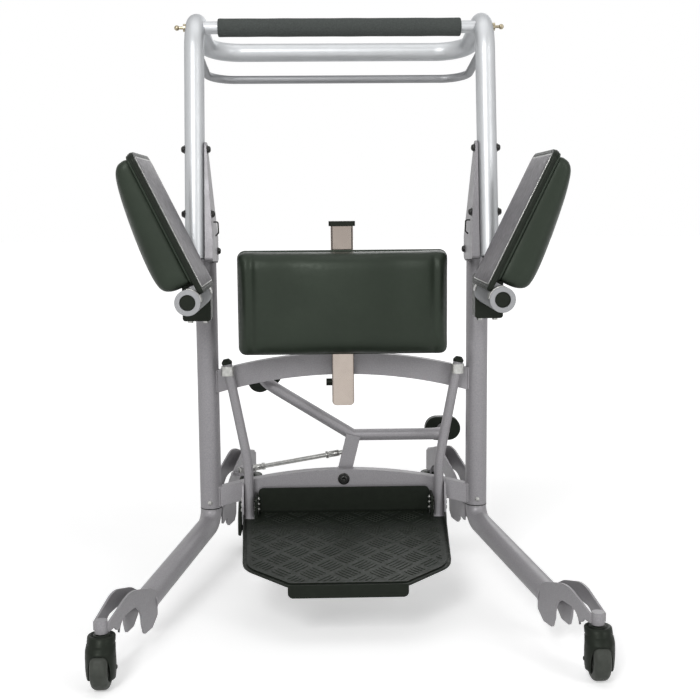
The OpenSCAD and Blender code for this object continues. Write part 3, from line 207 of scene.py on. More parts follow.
def make_materials():
    m = {}
    s = Surface("powder_paint", (156, 154, 157), 0.40, 0.20).soft_edges(0.0012)
    s.tint(s.noise(420, 2), 0.90, 1.09).gloss(s.noise(40, 3), 0.32, 0.44).bump(s.noise(900, 2), 0.00004, 0.4)
    s.set(Specular_IOR_Level=0.3, Specular_Tint=(0.5, 0.5, 0.5, 1))
    m["frame_paint"] = s.worn(0.5, (182, 181, 182))
    m["silver_tube"] = satin("satin_silver", (200, 202, 204), 0.44, 0.38, 0.48)
    m["loop"] = satin("loop_silver", (154, 155, 157), 0.42, 0.36, 0.46)
    s = Surface("zinc_plate", (176, 176, 173), 0.32, 1.0).soft_edges(0.0005)
    s.tint(s.cells(120, "F1"), 0.82, 1.10, (0.1, 0.8)).gloss(s.noise(80, 4), 0.24, 0.42)
    m["zinc"] = s.bump(s.noise(500, 3), 0.00002, 0.4)
    # The chrome's colour is set darker and browner than bare chrome, as a painted reflection of the darker,
    # brownish surroundings that the mast mirrors
    s = Surface("chrome_painted_reflection", (162, 152, 144), 0.10, 1.0).soft_edges(0.0012)
    s.tint(s.noise(30, 4), 0.95, 1.03).gloss(s.noise(22, 5), 0.05, 0.20)
    m["chrome"] = s.bump(s.noise(260, 2, 0.5, (1, 1, 0.05)), 0.00001, 0.3)
    s = Surface("moulded_black", (19, 23, 18), 0.45).soft_edges(0.0012)
    s.tint(s.noise(60, 3), 0.78, 1.22).gloss(s.noise(110, 3), 0.36, 0.55).bump(s.cells(900), 0.00008, 0.5)
    s.set(Specular_IOR_Level=0.2, Specular_Tint=(0.92, 1.0, 0.88, 1))
    m["black_plastic"] = s.worn(0.3, (70, 74, 68))
    s = Surface("upholstery_vinyl", (34, 41, 33), 0.45)
    s.tint(s.noise(9, 4), 0.84, 1.16).gloss(s.noise(130, 4), 0.40, 0.54)
    s.bump(s.cells(620), 0.00014, 0.5).bump(s.noise(45, 3), 0.0004, 0.2)
    s.set(Specular_IOR_Level=0.3, Specular_Tint=(0.88, 1.0, 0.86, 1), Coat_Weight=0.04, Coat_Roughness=0.3)
    m["vinyl"] = s
    s = Surface("grip_foam_rubber", (74, 78, 76), 0.82)
    s.tint(s.noise(420, 3), 0.80, 1.18).gloss(s.noise(200, 3), 0.74, 0.90)
    m["foam"] = s.bump(s.cells(780, "F1"), 0.00022, 0.7).set(Specular_IOR_Level=0.25)
    s = Surface("tread_rubber", (17, 21, 16), 0.5)
    s.tint(s.noise(25, 4), 0.78, 1.22).gloss(s.noise(150, 3), 0.36, 0.56).bump(s.noise(900, 3), 0.0001, 0.5)
    m["tread"] = s.set(Specular_IOR_Level=0.26, Specular_Tint=(0.9, 1.0, 0.88, 1))
    s = Surface("wheel_rubber", (62, 65, 60), 0.62).soft_edges(0.0008)
    s.tint(s.noise(70, 4), 0.84, 1.16).gloss(s.noise(150, 3), 0.52, 0.72).bump(s.noise(1100, 3), 0.0001, 0.5)
    m["tyre"] = s.set(Specular_IOR_Level=0.3)
    s = Surface("black_bolt", (34, 34, 32), 0.28, 0.4).soft_edges(0.0004)
    s.tint(s.noise(300, 3), 0.8, 1.3).gloss(s.noise(240, 3), 0.2, 0.4)
    m["bolt_black"] = s.bump(s.noise(900, 2), 0.00003, 0.4)
    s = Surface("stud_brass", (162, 152, 130), 0.24, 1.0)
    s.tint(s.noise(260, 3), 0.85, 1.1).gloss(s.noise(200, 3), 0.16, 0.34)
    m["brass"] = s.bump(s.noise(700, 2), 0.00003, 0.4)
    s = Surface("seat_panel", (94, 91, 95), 0.5)
    s.tint(s.noise(18, 4), 0.92, 1.08).gloss(s.noise(90, 3), 0.42, 0.58)
    m["panel"] = s.bump(s.cells(700), 0.0001, 0.4)
    return m


# Finishes of the scene alone, and the record's slot that each belongs to
mats = make_materials()
for row in frame["record"]["subparts"]:
    ob = nodes[row["node"]]
    ob.data.materials.clear()
    ob.data.materials.append(mats[row["material_slot"]].mat)


# Mesh helpers

def add_mesh(name, verts, faces, slot, body, smooth=True):
    me = bpy.data.meshes.new(name)
    me.from_pydata([tuple(v) for v in verts], [], [tuple(f) for f in faces])
    me.validate()
    ob = bpy.data.objects.new(name, me)
    scene.collection.objects.link(ob)
    me.materials.append(mats[slot].mat)
    if smooth:
        me.polygons.foreach_set("use_smooth", [True] * len(me.polygons))
    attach(ob, body)
    return ob


def mm(x, y, z):
    """A point of the part's source, in millimetres from the columns' axes, in the row frame."""
    return Vector((x / 1000, y / 1000 + COLUMN_Y, z / 1000))


def leg_point(sign, x, y, z):
    """A point in the axes of a leg, which stands open at rest."""
    c, s = math.cos(LEG_OPEN), math.sin(LEG_OPEN)
    return mm(sign * (COLUMN_X + x * c - y * s), x * s + y * c, z)


def angles(count):
    return [2 * math.pi * k / count for k in range(count)]


def skin(rows, n, closed=False):
    """Faces between neighbouring rings of n points."""
    faces = []
    for i in range(rows if closed else rows - 1):
        j = (i + 1) % rows
        faces += [(i * n + k, i * n + (k + 1) % n, j * n + (k + 1) % n, j * n + k) for k in range(n)]
    return faces


def lids(rows, n):
    """Faces that close the first and the last ring."""
    return [tuple(range(n - 1, -1, -1)), tuple((rows - 1) * n + k for k in range(n))]


def lofted(rings):
    """Closed shape through rings that have the same number of points."""
    rows, n = len(rings), len(rings[0])
    return [p for ring in rings for p in ring], skin(rows, n) + lids(rows, n)


def turned(profile, origin, axis, sides=24):
    """Turned shape from (radius, height) pairs in millimetres; a third value makes that ring hexagonal."""
    a = Vector(axis).normalized()
    u = a.orthogonal().normalized()
    v = a.cross(u)
    rings = []
    for r, h, *six in profile:
        reach = [r / math.cos((g % (math.pi / 3)) - math.pi / 6) if six else r for g in angles(sides)]
        rings.append([Vector(origin) + (a * h + (u * math.cos(g) + v * math.sin(g)) * q) / 1000
                      for g, q in zip(angles(sides), reach)])
    return lofted(rings)


def button_head(origin, axis, d, h, washer=0.0):
    """Domed screw head with a hexagon socket in it, on a washer of the given diameter."""
    r, rim, thick = d / 2, washer / 2, 1.5 if washer else 0.0
    if washer:
        rows = [(rim - 0.3, 0), (rim, 0.3), (rim, thick - 0.3), (rim - 0.3, thick), (r, thick)]
    else:
        rows = [(r, 0)]
    for t in (0.0, 0.25, 0.45, 0.62, 0.76, 0.87, 0.95):
        rows.append((r * math.sqrt(1 - 0.72 * t * t), thick + 0.12 * h + 0.88 * h * t))
    top = thick + h
    rows += [(r * 0.42, top, 1), (r * 0.40, top - 0.2, 1),
             (r * 0.38, thick + h * 0.45, 1), (0.05, thick + h * 0.40)]
    return turned(rows, origin, axis)


def hex_nut(origin, axis, flat, h):
    """Nut with the end of its bolt standing out of it."""
    r = flat / 2
    return turned([(r * 0.94, 0, 1), (r, 0.5, 1), (r, h - 0.6, 1), (r * 0.95, h, 1),
                   (r * 0.5, h), (r * 0.48, h + 1.4), (0.05, h + 1.6)], origin, axis)


def rounded_outline(corners, steps=8):
    """Closed outline from (x, y, radius) corners, in the corners' own unit."""
    out = []
    n = len(corners)
    for i in range(n):
        a, b, c = (Vector(corners[(i + k) % n][:2]) for k in (-1, 0, 1))
        r = corners[i][2]
        u, v = (a - b).normalized(), (c - b).normalized()
        half = math.acos(max(-1, min(1, u.dot(v)))) / 2
        mid = b + (u + v).normalized() * r / math.sin(half)
        s, e = b + u * r / math.tan(half) - mid, b + v * r / math.tan(half) - mid
        start = math.atan2(s.y, s.x)
        turn = math.atan2(s.x * e.y - s.y * e.x, s.dot(e))
        out += [mid + r * Vector((math.cos(start + turn * k / steps), math.sin(start + turn * k / steps)))
                for k in range(steps + 1)]
    return out


def rounded_box(x0, x1, y0, y1, first, last):
    """Rounded rectangle with one radius at its x0 end and another at its x1 end."""
    return rounded_outline([(x0, y0, first), (x1, y0, last), (x1, y1, last), (x0, y1, first)])


def resampled(path, step):
    """Closed path with points about one step apart."""
    out = []
    for i, p in enumerate(path):
        q = path[(i + 1) % len(path)]
        k = max(1, int((Vector(q) - Vector(p)).length / step))
        out += [Vector(p).lerp(Vector(q), j / k) for j in range(k)]
    return out


def sweep(path, radius, sides=10, closed=False, ripple=0.0):
    """Round tube along a path, rippled like a weld bead if asked."""
    pts = [Vector(p) for p in path]
    n = len(pts)
    verts = []
    up = None
    for i, p in enumerate(pts):
        a = pts[(i - 1) % n] if closed or i else pts[i]
        b = pts[(i + 1) % n] if closed or i < n - 1 else pts[i]
        t = (b - a).normalized()
        if up is None:
            up = t.orthogonal().normalized()
        up = (up - t * up.dot(t)).normalized()
        side = t.cross(up)
        swell = radius * (1 + ripple * math.sin(i * 1.9 + 0.6 * math.sin(i * 0.37)))
        verts += [p + (up * math.cos(g) + side * math.sin(g)) * swell for g in angles(sides)]
    return verts, skin(n, sides, closed) + ([] if closed else lids(n, sides))


def merge(parts):
    verts, faces = [], []
    for v, f in parts:
        k = len(verts)
        verts += v
        faces += [tuple(i + k for i in g) for g in f]
    return verts, faces


# Padded parts: the CAD solid is copied, remeshed, blown up a little as cloth and fixed. Lengths are in metres.

# A cushion starts this much smaller all round, and this depth of it is held by its board or plate
SHRINK, HELD = 0.0012, 0.006
VOXEL, CLOTH_FRAMES, PRESSURE, IRONING = 0.0055, 20, 4.0, 60

# Distance between points along a welt or a trim
TRIM_STEP = 0.006


def swelling(ob, rest, pinned, cap):
    """How far the cloth simulation moves each point, capped and without its wrinkles."""
    hold = ob.vertex_groups.new(name="hold")
    hold.add([i for i, p in enumerate(rest) if pinned(p)], 1.0, "REPLACE")
    cloth = ob.modifiers.new("cloth", "CLOTH")
    st = cloth.settings
    st.quality = 5
    st.mass = 0.25
    st.tension_stiffness = st.compression_stiffness = 25
    st.shear_stiffness = 12
    st.bending_stiffness = 3
    st.use_pressure = True
    st.uniform_pressure_force = PRESSURE
    st.vertex_group_mass = "hold"
    st.effector_weights.gravity = 0.0
    cloth.collision_settings.use_collision = False
    cloth.point_cache.frame_start = 1
    cloth.point_cache.frame_end = CLOTH_FRAMES
    for f in range(1, CLOTH_FRAMES + 1):
        scene.frame_set(f)
    moved = ob.evaluated_get(bpy.context.evaluated_depsgraph_get())
    d = np.array([v.co for v in moved.data.vertices]) - rest
    ob.modifiers.clear()
    d = d * np.minimum(1, cap / np.maximum(np.linalg.norm(d, axis=1, keepdims=True), 1e-9))
    # The cover is taut, so the swelling is evened out between neighbours until its wrinkles are gone
    edges = np.array([e.vertices[:] for e in ob.data.edges])
    count = np.bincount(edges.ravel(), minlength=len(rest))[:, None]
    for _ in range(IRONING):
        total = np.zeros_like(d)
        np.add.at(total, edges[:, 0], d[edges[:, 1]])
        np.add.at(total, edges[:, 1], d[edges[:, 0]])
        d = 0.4 * d + 0.6 * total / count
    scene.frame_set(1)
    return d


def padded_part(name, node, pinned, cap):
    """Remeshed copy of a soft solid, and where its points lie once it has swollen."""
    ob = bpy.data.objects.new(name, nodes[node].data.copy())
    scene.collection.objects.link(ob)
    bm = bmesh.new()
    bm.from_mesh(ob.data)
    bmesh.ops.remove_doubles(bm, verts=bm.verts, dist=1e-6)
    bm.to_mesh(ob.data)
    bm.free()
    co = np.array([v.co for v in ob.data.vertices])
    mid = (co.min(0) + co.max(0)) / 2
    half = (co.max(0) - co.min(0)) / 2
    co = mid + (co - mid) * (1 - SHRINK / half)
    ob.data.vertices.foreach_set("co", co.astype(np.float32).ravel())
    ob.data.update()
    remesh = ob.modifiers.new("remesh", "REMESH")
    remesh.mode = "VOXEL"
    remesh.voxel_size = VOXEL
    me = bpy.data.meshes.new_from_object(ob.evaluated_get(bpy.context.evaluated_depsgraph_get()))
    ob.modifiers.clear()
    ob.data = me
    rest = np.array([v.co for v in me.vertices])
    rest = rest + swelling(ob, rest, pinned, cap)
    return ob, rest


def finish_pad(ob, co, slot, body, node):
    """Gives a padded part its last shape and its finish, and puts it in its solid's place."""
    ob.data.vertices.foreach_set("co", np.asarray(co, np.float32).ravel())
    ob.data.update()
    bm = bmesh.new()
    bm.from_mesh(ob.data)
    bmesh.ops.smooth_vert(bm, verts=bm.verts, factor=0.5, use_axis_x=True, use_axis_y=True, use_axis_z=True)
    bm.to_mesh(ob.data)
    bm.free()
    ob.data.polygons.foreach_set("use_smooth", [True] * len(ob.data.polygons))
    ob.data.materials.clear()
    ob.data.materials.append(mats[slot].mat)
    sub = ob.modifiers.new("round", "SUBSURF")
    sub.levels = sub.render_levels = 1
    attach(ob, body)
    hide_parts(node)


def knee_pad():
    swell = 0.005
    hollow_x, hollow_w, hollow_deep = 0.104, 0.046, 0.0065
    crease_x, crease_w, crease_deep = 0.1835, 0.0046, 0.0048
    welt_r, welt_in, welt_back, corner = 0.0028, 0.003, 0.007, 0.014
    lo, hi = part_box("knee_pad")
    back, depth, mid_z, half_z = hi.y, hi.y - lo.y, (lo.z + hi.z) / 2, (hi.z - lo.z) / 2
    ob, co = padded_part("knee_cushion", "knee_pad", lambda p: p[1] > back - HELD, swell)
    # The photographed face is nearly flat up and down, so its crown is eased towards one depth
    near = np.clip((back - 0.62 * depth - co[:, 1]) / (0.2 * depth), 0, 1)
    flat = np.clip((0.86 * half_z - np.abs(co[:, 2] - mid_z)) / (0.2 * half_z), 0, 1)
    ease = 0.55 * near * flat
    co[:, 1] = co[:, 1] * (1 - ease) + (lo.y + 0.004) * ease
    # Two shallow hollows for the knees, and a crease beside the rolled edge at each end
    face = np.clip((back - 0.55 * depth - co[:, 1]) / (0.3 * depth), 0, 1)
    x = np.abs(co[:, 0])
    tall = 1 - 0.35 * ((co[:, 2] - mid_z) / half_z) ** 2
    co[:, 1] += face * tall * hollow_deep * np.exp(-((x - hollow_x) / hollow_w) ** 2)
    co[:, 1] += face * crease_deep * np.exp(-((x - crease_x) / crease_w) ** 2)
    finish_pad(ob, co, "vinyl", "knee_support", "knee_pad")
    edge = rounded_box(lo.x + welt_in, hi.x - welt_in, lo.z + welt_in, hi.z - welt_in, corner, corner)
    path = resampled([Vector((p.x, back - welt_back, p.y)) for p in edge], TRIM_STEP)
    add_mesh("knee_cushion_welt", *sweep(path, welt_r, 10, True), "vinyl", "knee_support")


# Seat paddles

def paddle(sign):
    """Maps the paddle's own axes to the row frame: out along the board, fore and aft, up off its face."""
    pivot = mm(sign * SEAT_X, 0, SEAT_Z)
    along = Vector((-sign * math.cos(SEAT_RAISE), 0, math.sin(SEAT_RAISE)))
    off = Vector((sign * math.sin(SEAT_RAISE), 0, math.cos(SEAT_RAISE)))
    return (lambda u, y, w: pivot + (along * u + Vector((0, y, 0)) + off * w) / 1000), off


def seat_cushion(side, sign):
    swell, belly, belly_from, tip = 0.009, 0.0085, 0.026, 0.2805
    node = f"{side}_seat_cushion"
    at, off = paddle(sign)
    pivot = at(0, 0, 0)
    base = min((Vector(v.co) - pivot).dot(off) for v in nodes[node].data.vertices)
    ob, co = padded_part(f"{side}_seat_pad", node,
                         lambda p: (Vector(p) - pivot).dot(off) < base + HELD, swell)
    # The cushion is full along its length and rolls over at both ends
    along = at(1000, 0, 0) - pivot
    u, w = (co - np.array(pivot)) @ np.array(along), (co - np.array(pivot)) @ np.array(off) - base
    t = (u - u.min()) / (u.max() - u.min())
    co = co + np.outer(belly * (1 - (2 * t - 1) ** 6) * np.clip(w / belly_from, 0, 1), np.array(off))
    # The two halves meet when they are down, so no point passes the board's tip
    for p in co:
        over = (Vector(p) - pivot).dot(along) - tip
        if over > 0:
            p -= np.array(along) * over
    finish_pad(ob, co, "vinyl", f"{side}_seat", node)


def board_outline(inset):
    u0, u1, y0, y1 = BOARD
    return rounded_box(u0 + inset, u1 - inset, y0 + inset, y1 - inset, max(8 - inset, 3), max(18 - inset, 3))


def seat_trim(side, sign):
    """Moulded edge, bright bead, lining, welt and clips of one seat paddle."""
    at, _ = paddle(sign)
    body = f"{side}_seat"
    under = BOARD_TOP - BOARD_T
    edge_in, edge_r = 4.4, 0.0054
    bead_in, bead_r = 10.2, 0.0010
    welt_rise, welt_r = 2.2, 0.0026

    def loop(outline, w):
        return resampled([at(p.x, p.y, w) for p in outline], TRIM_STEP)

    edge = loop(board_outline(edge_in), BOARD_TOP - BOARD_T / 2)
    add_mesh(f"{side}_board_edge", *sweep(edge, edge_r, 14, True), "black_plastic", body)
    bead = loop(board_outline(bead_in), under - 0.2)
    add_mesh(f"{side}_board_bead", *sweep(bead, bead_r, 8, True), "zinc", body)
    # The lining's rings: how far in from the board's edge, and how far off its underside
    rows = [(11.0, 0.3), (11.0, -0.9), (11.4, -1.3), (12.2, -1.5), (30, -1.9), (60, -2.1)]
    rings = [[at(p.x, p.y, under + w) for p in board_outline(inset)] for inset, w in rows]
    faces = skin(len(rows), len(rings[0])) + lids(len(rows), len(rings[0]))[1:]
    add_mesh(f"{side}_board_lining", [p for ring in rings for p in ring], faces, "panel", body)
    welt = loop(rounded_box(27, 277, -339, -137, 12, 14), BOARD_TOP + welt_rise)
    add_mesh(f"{side}_seat_welt", *sweep(welt, welt_r, 10, True), "vinyl", body)
    add_mesh(f"{side}_sleeve_clips", *merge(sleeve_clips(at)), "zinc", body, False)


def sleeve_clips(at):
    """Clips of bent sheet between the sleeve and the board, one at each end of the sleeve."""
    inner, outer, eased = 23.7, 25.6, 24.6
    arc = [math.radians(a) for a in range(-112, -17, 5)]
    parts = []
    for y0, y1 in ((-344, -322), (-153, -132)):
        rings = []
        for y, r in ((y0, eased), (y0 + 1, outer), (y1 - 1, outer), (y1, eased)):
            rings.append([at(inner * math.cos(a), y, inner * math.sin(a)) for a in arc]
                         + [at(r * math.cos(a), y, r * math.sin(a)) for a in reversed(arc)])
        parts.append(lofted(rings))
    return parts


# Grip foam with rolled ends

def grip_foam():
    bore_r, roll, waves = 12.6, 5, 60
    lo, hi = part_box("grip_foam")
    half, r = (hi.x - lo.x) * 500, (hi.z - lo.z) * 500
    rows = [(bore_r, -half), (r - 3, -half), (r - 1.2, -half + 0.7),
            (r - 0.2, -half + 2.4), (r, -half + roll)]
    end = [(a, -b) for a, b in reversed(rows)]
    for i in range(1, waves):
        h = -half + roll + (2 * half - 2 * roll) * i / waves
        rows.append((r - 0.25 + 0.22 * math.sin(h * 0.071) * math.sin(h * 0.0193 + 1), h))
    ob = add_mesh("grip_sleeve", *turned(rows + end, (lo + hi) / 2, (1, 0, 0), 44), "foam", "frame")
    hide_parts("grip_foam")


# Five-bar tread on the footplate's mat

def on_plate(x, y, z):
    """A point in the axes of the footplate, which falls to the front."""
    c, s = math.cos(PLATE_FALL), math.sin(PLATE_FALL)
    return mm(x, PLATE_Y + y * c - z * s, PLATE_Z + y * s + z * c)


def mat_half(y):
    """Half width of the mat at a place along the plate, or -1 past its ends."""
    back, step, corner, front = -6, -47, -262, -337
    if not front < y < back:
        return -1
    if y > step:
        return 171
    if y > corner:
        return 199 + (y - step) * 14 / 215
    return 185 + (y - corner) * 80 / 76


def tread_bars():
    pitch, gap, half_length, margin, least = 46.0, 8.2, 19, 3, 9
    mat_mid, foot_z, top_z = -172, 2.0, 3.2
    d = math.sqrt(0.5)
    parts = []
    for i in range(-8, 9):
        for j in range(-8, 9):
            cx, cy = (i - j) * pitch * d, (i + j) * pitch * d + mat_mid
            ax = (d, d) if (i + j) % 2 else (d, -d)
            for b in range(-2, 3):
                mx, my = cx - ax[1] * b * gap, cy + ax[0] * b * gap
                t = [k for k in range(-half_length, half_length + 1)
                     if abs(mx + ax[0] * k) + margin < mat_half(my + ax[1] * k)]
                if len(t) < least:
                    continue
                t0, t1 = t[0], t[-1]
                rim = [(t0, 0), (t0 + 5, -1.9), (t1 - 5, -1.9), (t1, 0), (t1 - 5, 1.9), (t0 + 5, 1.9)]
                top = [(t0 + 2.5, 0), (t0 + 6, -0.9), (t1 - 6, -0.9),
                       (t1 - 2.5, 0), (t1 - 6, 0.9), (t0 + 6, 0.9)]
                v = [on_plate(mx + ax[0] * p - ax[1] * q, my + ax[1] * p + ax[0] * q, z)
                     for row, z in ((rim, foot_z), (top, top_z)) for p, q in row]
                parts.append((v, skin(2, 6) + lids(2, 6)[1:]))
    add_mesh("tread_bars", *merge(parts), "tread", "frame", False)


# Weld beads where the crossbars and gussets meet the columns and the legs meet their arches,
# and the washers in the seams between the columns and the legs

def weld_beads():
    ripple, bar_bead, gusset_bead, leg_bead = 0.16, 0.0021, 0.0022, 0.0019
    bead_step, gusset_z, gusset_half, leg_r = 0.0022, 684.8, 16, 0.0222
    bar_off, gusset_off, leg_back = 0.4, 1.4, 0.0008
    washer = [(20.5, -2.0), (22.5, -2.0), (22.9, -1.6), (22.9, -0.9),
              (22.5, -0.5), (20.5, -0.5), (20.5, -2.0)]
    parts = []
    for mid_z, h in (UPPER_BAR, LOWER_BAR):
        rim = rounded_box(-BAR_DEPTH / 2, BAR_DEPTH / 2, mid_z - h / 2, mid_z + h / 2, 2, 2)
        for _, sign in SIDES:
            path = [mm(sign * (COLUMN_X - math.sqrt(COLUMN_R ** 2 - p.x ** 2) - bar_off), p.x, p.y)
                    for p in rim]
            parts.append(sweep(resampled(path, bead_step), bar_bead, 8, True, ripple))
    for _, sign in SIDES:
        path = [mm(sign * (COLUMN_X - math.sqrt((COLUMN_R + gusset_off) ** 2 - y * y)), y, gusset_z)
                for y in np.linspace(-gusset_half, gusset_half, 20)]
        parts.append(sweep(path, gusset_bead, 8, False, ripple))
    add_mesh("frame_welds", *merge(parts), "frame_paint", "frame")
    for side, sign in SIDES:
        end = leg_point(sign, 0, -LEG_REACH, LEG_END_Z)
        out = (end - leg_point(sign, 0, 0, ELBOW_Z)).normalized()
        u = out.orthogonal().normalized()
        v = out.cross(u)
        ring = [end - out * leg_back + (u * math.cos(g) + v * math.sin(g)) * leg_r for g in angles(64)]
        add_mesh(f"{side}_leg_weld", *sweep(ring, leg_bead, 8, True, ripple), "frame_paint", f"{side}_leg")
        seam = leg_point(sign, 0, 0, SEAM_Z)
        add_mesh(f"{side}_leg_washer", *turned(washer, seam, (0, 0, 1), 48), "black_plastic", f"{side}_leg")


# Fasteners

def gusset_bolts():
    """Bolts through the gussets, two in each upright and one in each column, with a head on both sides."""
    head_d, washer_d, inside_h, outside_h = 14, 17, 5, 5.5
    spacer = [(8.4, -2.4), (8.5, 0)]
    # Fore and aft place, height, and how far out the inside and the outside head sit
    places = [(UPRIGHT_Y + (z - UPRIGHT_FOOT_Z) * math.tan(UPRIGHT_LEAN), z, inside, 313)
              for z, inside in ((912, 267.6), (784, 259.5))] + [(0, 707, 257.0, 305.5)]
    heads = []
    for _, sign in SIDES:
        for y, z, inside, outside in places:
            heads.append(button_head(mm(sign * inside, y, z), (-sign, 0, 0), head_d, inside_h, washer_d))
            heads.append(turned(spacer, mm(sign * outside, y, z), (sign, 0, 0)))
            heads.append(button_head(mm(sign * outside, y, z), (sign, 0, 0), head_d, outside_h, washer_d))
    ob = add_mesh("gusset_bolt_set", *merge(heads), "bolt_black", "frame")
    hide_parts("gusset_bolts")


def pivot_bolt():
    shank, shank_y, head_y, nut_y = [(6, 0), (6, 38)], -13, -12.5, 24.6
    parts = [button_head(mm(0, head_y, PIVOT_Z), (0, -1, 0), 19, 5.5, 25),
             hex_nut(mm(0, nut_y, PIVOT_Z), (0, 1, 0), 16.4, 6),
             turned(shank, mm(0, shank_y, PIVOT_Z), (0, 1, 0))]
    ob = add_mesh("pivot_bolt_set", *merge(parts), "bolt_black", "frame")
    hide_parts("pivot_bolt")


def footplate_bolts():
    shank, shank_x, nut_x, head_x, bolt_y = [(3, 0), (3, 33)], 181.5, 182, 214.2, -31.5
    parts = []
    for _, sign in SIDES:
        for z in (164, 175, 186):
            parts.append(turned(shank, mm(sign * shank_x, bolt_y, z), (sign, 0, 0), 12))
            parts.append(hex_nut(mm(sign * nut_x, bolt_y, z), (-sign, 0, 0), 8.4, 3.4))
            parts.append(button_head(mm(sign * head_x, bolt_y, z), (sign, 0, 0), 10, 3.6))
    ob = add_mesh("footplate_bolt_set", *merge(parts), "zinc", "frame")
    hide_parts("footplate_bolts")


def knee_plate_bolts():
    head_y = -52.9
    heads = [button_head(mm(x, head_y, z), (0, 1, 0), 12, 4.5, 19) for x in (-150, 150) for z in (558, 648)]
    add_mesh("knee_plate_bolts", *merge(heads), "bolt_black", "knee_support")


# Couplings on the tie rods, each a sleeve and its lock nut

def tie_couplings():
    sleeve = [(5.1, 0), (6.6, 1.2, 1), (6.6, 22, 1), (5.1, 23.2)]
    nut = [(5.1, 0), (7.6, 0.8, 1), (7.6, 5, 1), (5.1, 5.8)]
    sleeve_from, nut_from = 0.022, 0.0465
    eye_x, eye_y, left_eye_z, right_eye_z = -36, 112, 219.3, 177.3
    across, up = TIE_ARM * math.sin(PEDAL_LEAN), TIE_ARM * math.cos(PEDAL_LEAN)
    ends = {"left": (leg_point(-1, eye_x, eye_y, left_eye_z), mm(across, TIE_Y, PIVOT_Z + up)),
            "right": (leg_point(1, eye_x, eye_y, right_eye_z), mm(-across, TIE_Y, PIVOT_Z - up))}
    for side, (outer, inner) in ends.items():
        d = (inner - outer).normalized()
        parts = []
        for p, q in ((outer, d), (inner, -d)):
            parts += [turned(sleeve, p + q * sleeve_from, q), turned(nut, p + q * nut_from, q)]
        add_mesh(f"{side}_tie_couplings", *merge(parts), "zinc", f"{side}_tie")


# Castors: swivel races and axle heads on all four, hoods on the front ones

def castor_dressing():
    # Place along the leg, trail, wheel radius and cap height,
    # then the axle's half length, the diameters of its heads and their washers, and the race's radius
    kinds = {"front": (-FRONT_STEM, FRONT_TRAIL, FRONT_WHEEL_R, FRONT_CAP_Z, 25.2, 8, 0, 22),
             "rear": (REAR_STEM, REAR_TRAIL, REAR_WHEEL_R, REAR_CAP_Z, 25.5, 13, 17, 27)}
    race = [(-0.4, -5), (0.5, -4), (0.6, -1.5), (-0.6, 0.5), (-3, 0.9), (-4, 0.2), (-8, 0.2), (-8.6, 1.4)]
    for side, sign in SIDES:
        for end, (place, trail, wheel_r, cap_z, half, head, washer, race_r) in kinds.items():
            top = leg_point(sign, 0, place, cap_z)
            body = f"{side}_{end}_castor"
            rows = [(race_r + r, h) for r, h in race] + [(7.5, 1.5), (6.2, 1.5)]
            add_mesh(f"{side}_{end}_swivel_race", *turned(rows, top, (0, 0, 1), 40), "black_plastic", body)
            axle = top + Vector((0, -trail, wheel_r - cap_z)) / 1000
            heads = [button_head(axle + Vector((k * half / 1000, 0, 0)), (k, 0, 0), head, head / 5, washer)
                     for k in (-1, 1)]
            add_mesh(f"{side}_{end}_axle_heads", *merge(heads), "bolt_black", body)


def castor_hoods():
    """Round hoods over the front wheels, cut away in an arch fore and aft."""
    outer = [(20, 90.2), (22.6, 89.8), (23.6, 88), (23.8, 81), (23.2, 79.6), (23.2, 78.4), (24.4, 77),
             (25.2, 70), (25.8, 58), (25.8, 40), (25.0, 28), (24.0, 21)]
    # The first rings of the outline are the crown's; the skirt's are set closer, for the arch
    crown = 7
    skirt = [75, 72, 69, 66, 63, 60, 56, 52, 47, 42, 37, 32, 28, 24, 21]
    sides, wall, foot_z, ceiling_z, ceiling_in = 72, 3, 21, 77.4, 8
    arch_front, arch_back, arch_w = 45, 52, 0.76
    shift, shift_from, shift_over = -14, 88, 20
    post_row, post_z, axle_row = [(5.9, 0), (5.9, 20)], 89.5, [(4, -25), (4, 25)]

    def radius_at(z):
        for (r0, z0), (r1, z1) in zip(outer, outer[1:]):
            if z1 <= z <= z0:
                return r1 + (r0 - r1) * (z - z1) / (z0 - z1)
        return outer[-1][0]

    def ring(stem, z, inset=0.0):
        row = []
        for g in angles(sides):
            rise = arch_front if g > math.pi else arch_back
            h = max(z, foot_z + rise * max(0.0, 1 - (abs(math.cos(g)) / arch_w) ** 4) ** 0.5)
            q = radius_at(h) - inset
            back = shift * min(1, max(0, (shift_from - h) / shift_over))
            row.append(stem + Vector((q * math.cos(g), back + q * math.sin(g), h)) / 1000)
        return row

    for side, sign in SIDES:
        stem = leg_point(sign, 0, -FRONT_STEM, 0)
        rings = [ring(stem, z) for z in [z for _, z in outer[:crown]] + skirt]
        rings += [ring(stem, z, wall) for z in reversed(skirt)] + [ring(stem, ceiling_z, ceiling_in)]
        post = turned(post_row, stem + Vector((0, 0, post_z)) / 1000, (0, 0, 1))
        axle = turned(axle_row, stem + Vector((0, -FRONT_TRAIL, FRONT_WHEEL_R)) / 1000, (1, 0, 0))
        hood = merge([lofted(rings), post, axle])
        ob = add_mesh(f"{side}_front_hood", *hood, "black_plastic", f"{side}_front_castor")
        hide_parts(f"{side}_front_fork")


# Ribs on the pedal pads

def pedal_ribs():
    pitch, face_y, rib_r = 9, 110.4, 0.0016
    parts = []
    for x, z, turn in ((221.3, 308.4, 0.0), (-168.7, 427.1, math.radians(-32))):
        c, s = math.cos(turn), math.sin(turn)
        for k in range(-3, 4):
            reach = 17 if abs(k) < 3 else 12
            path = [mm(x + k * pitch * c + t * s, face_y, z - k * pitch * s + t * c)
                    for t in np.linspace(-reach, reach, 9)]
            parts.append(sweep(path, rib_r, 8))
    add_mesh("pedal_pad_ribs", *merge(parts), "tread", "pedal")


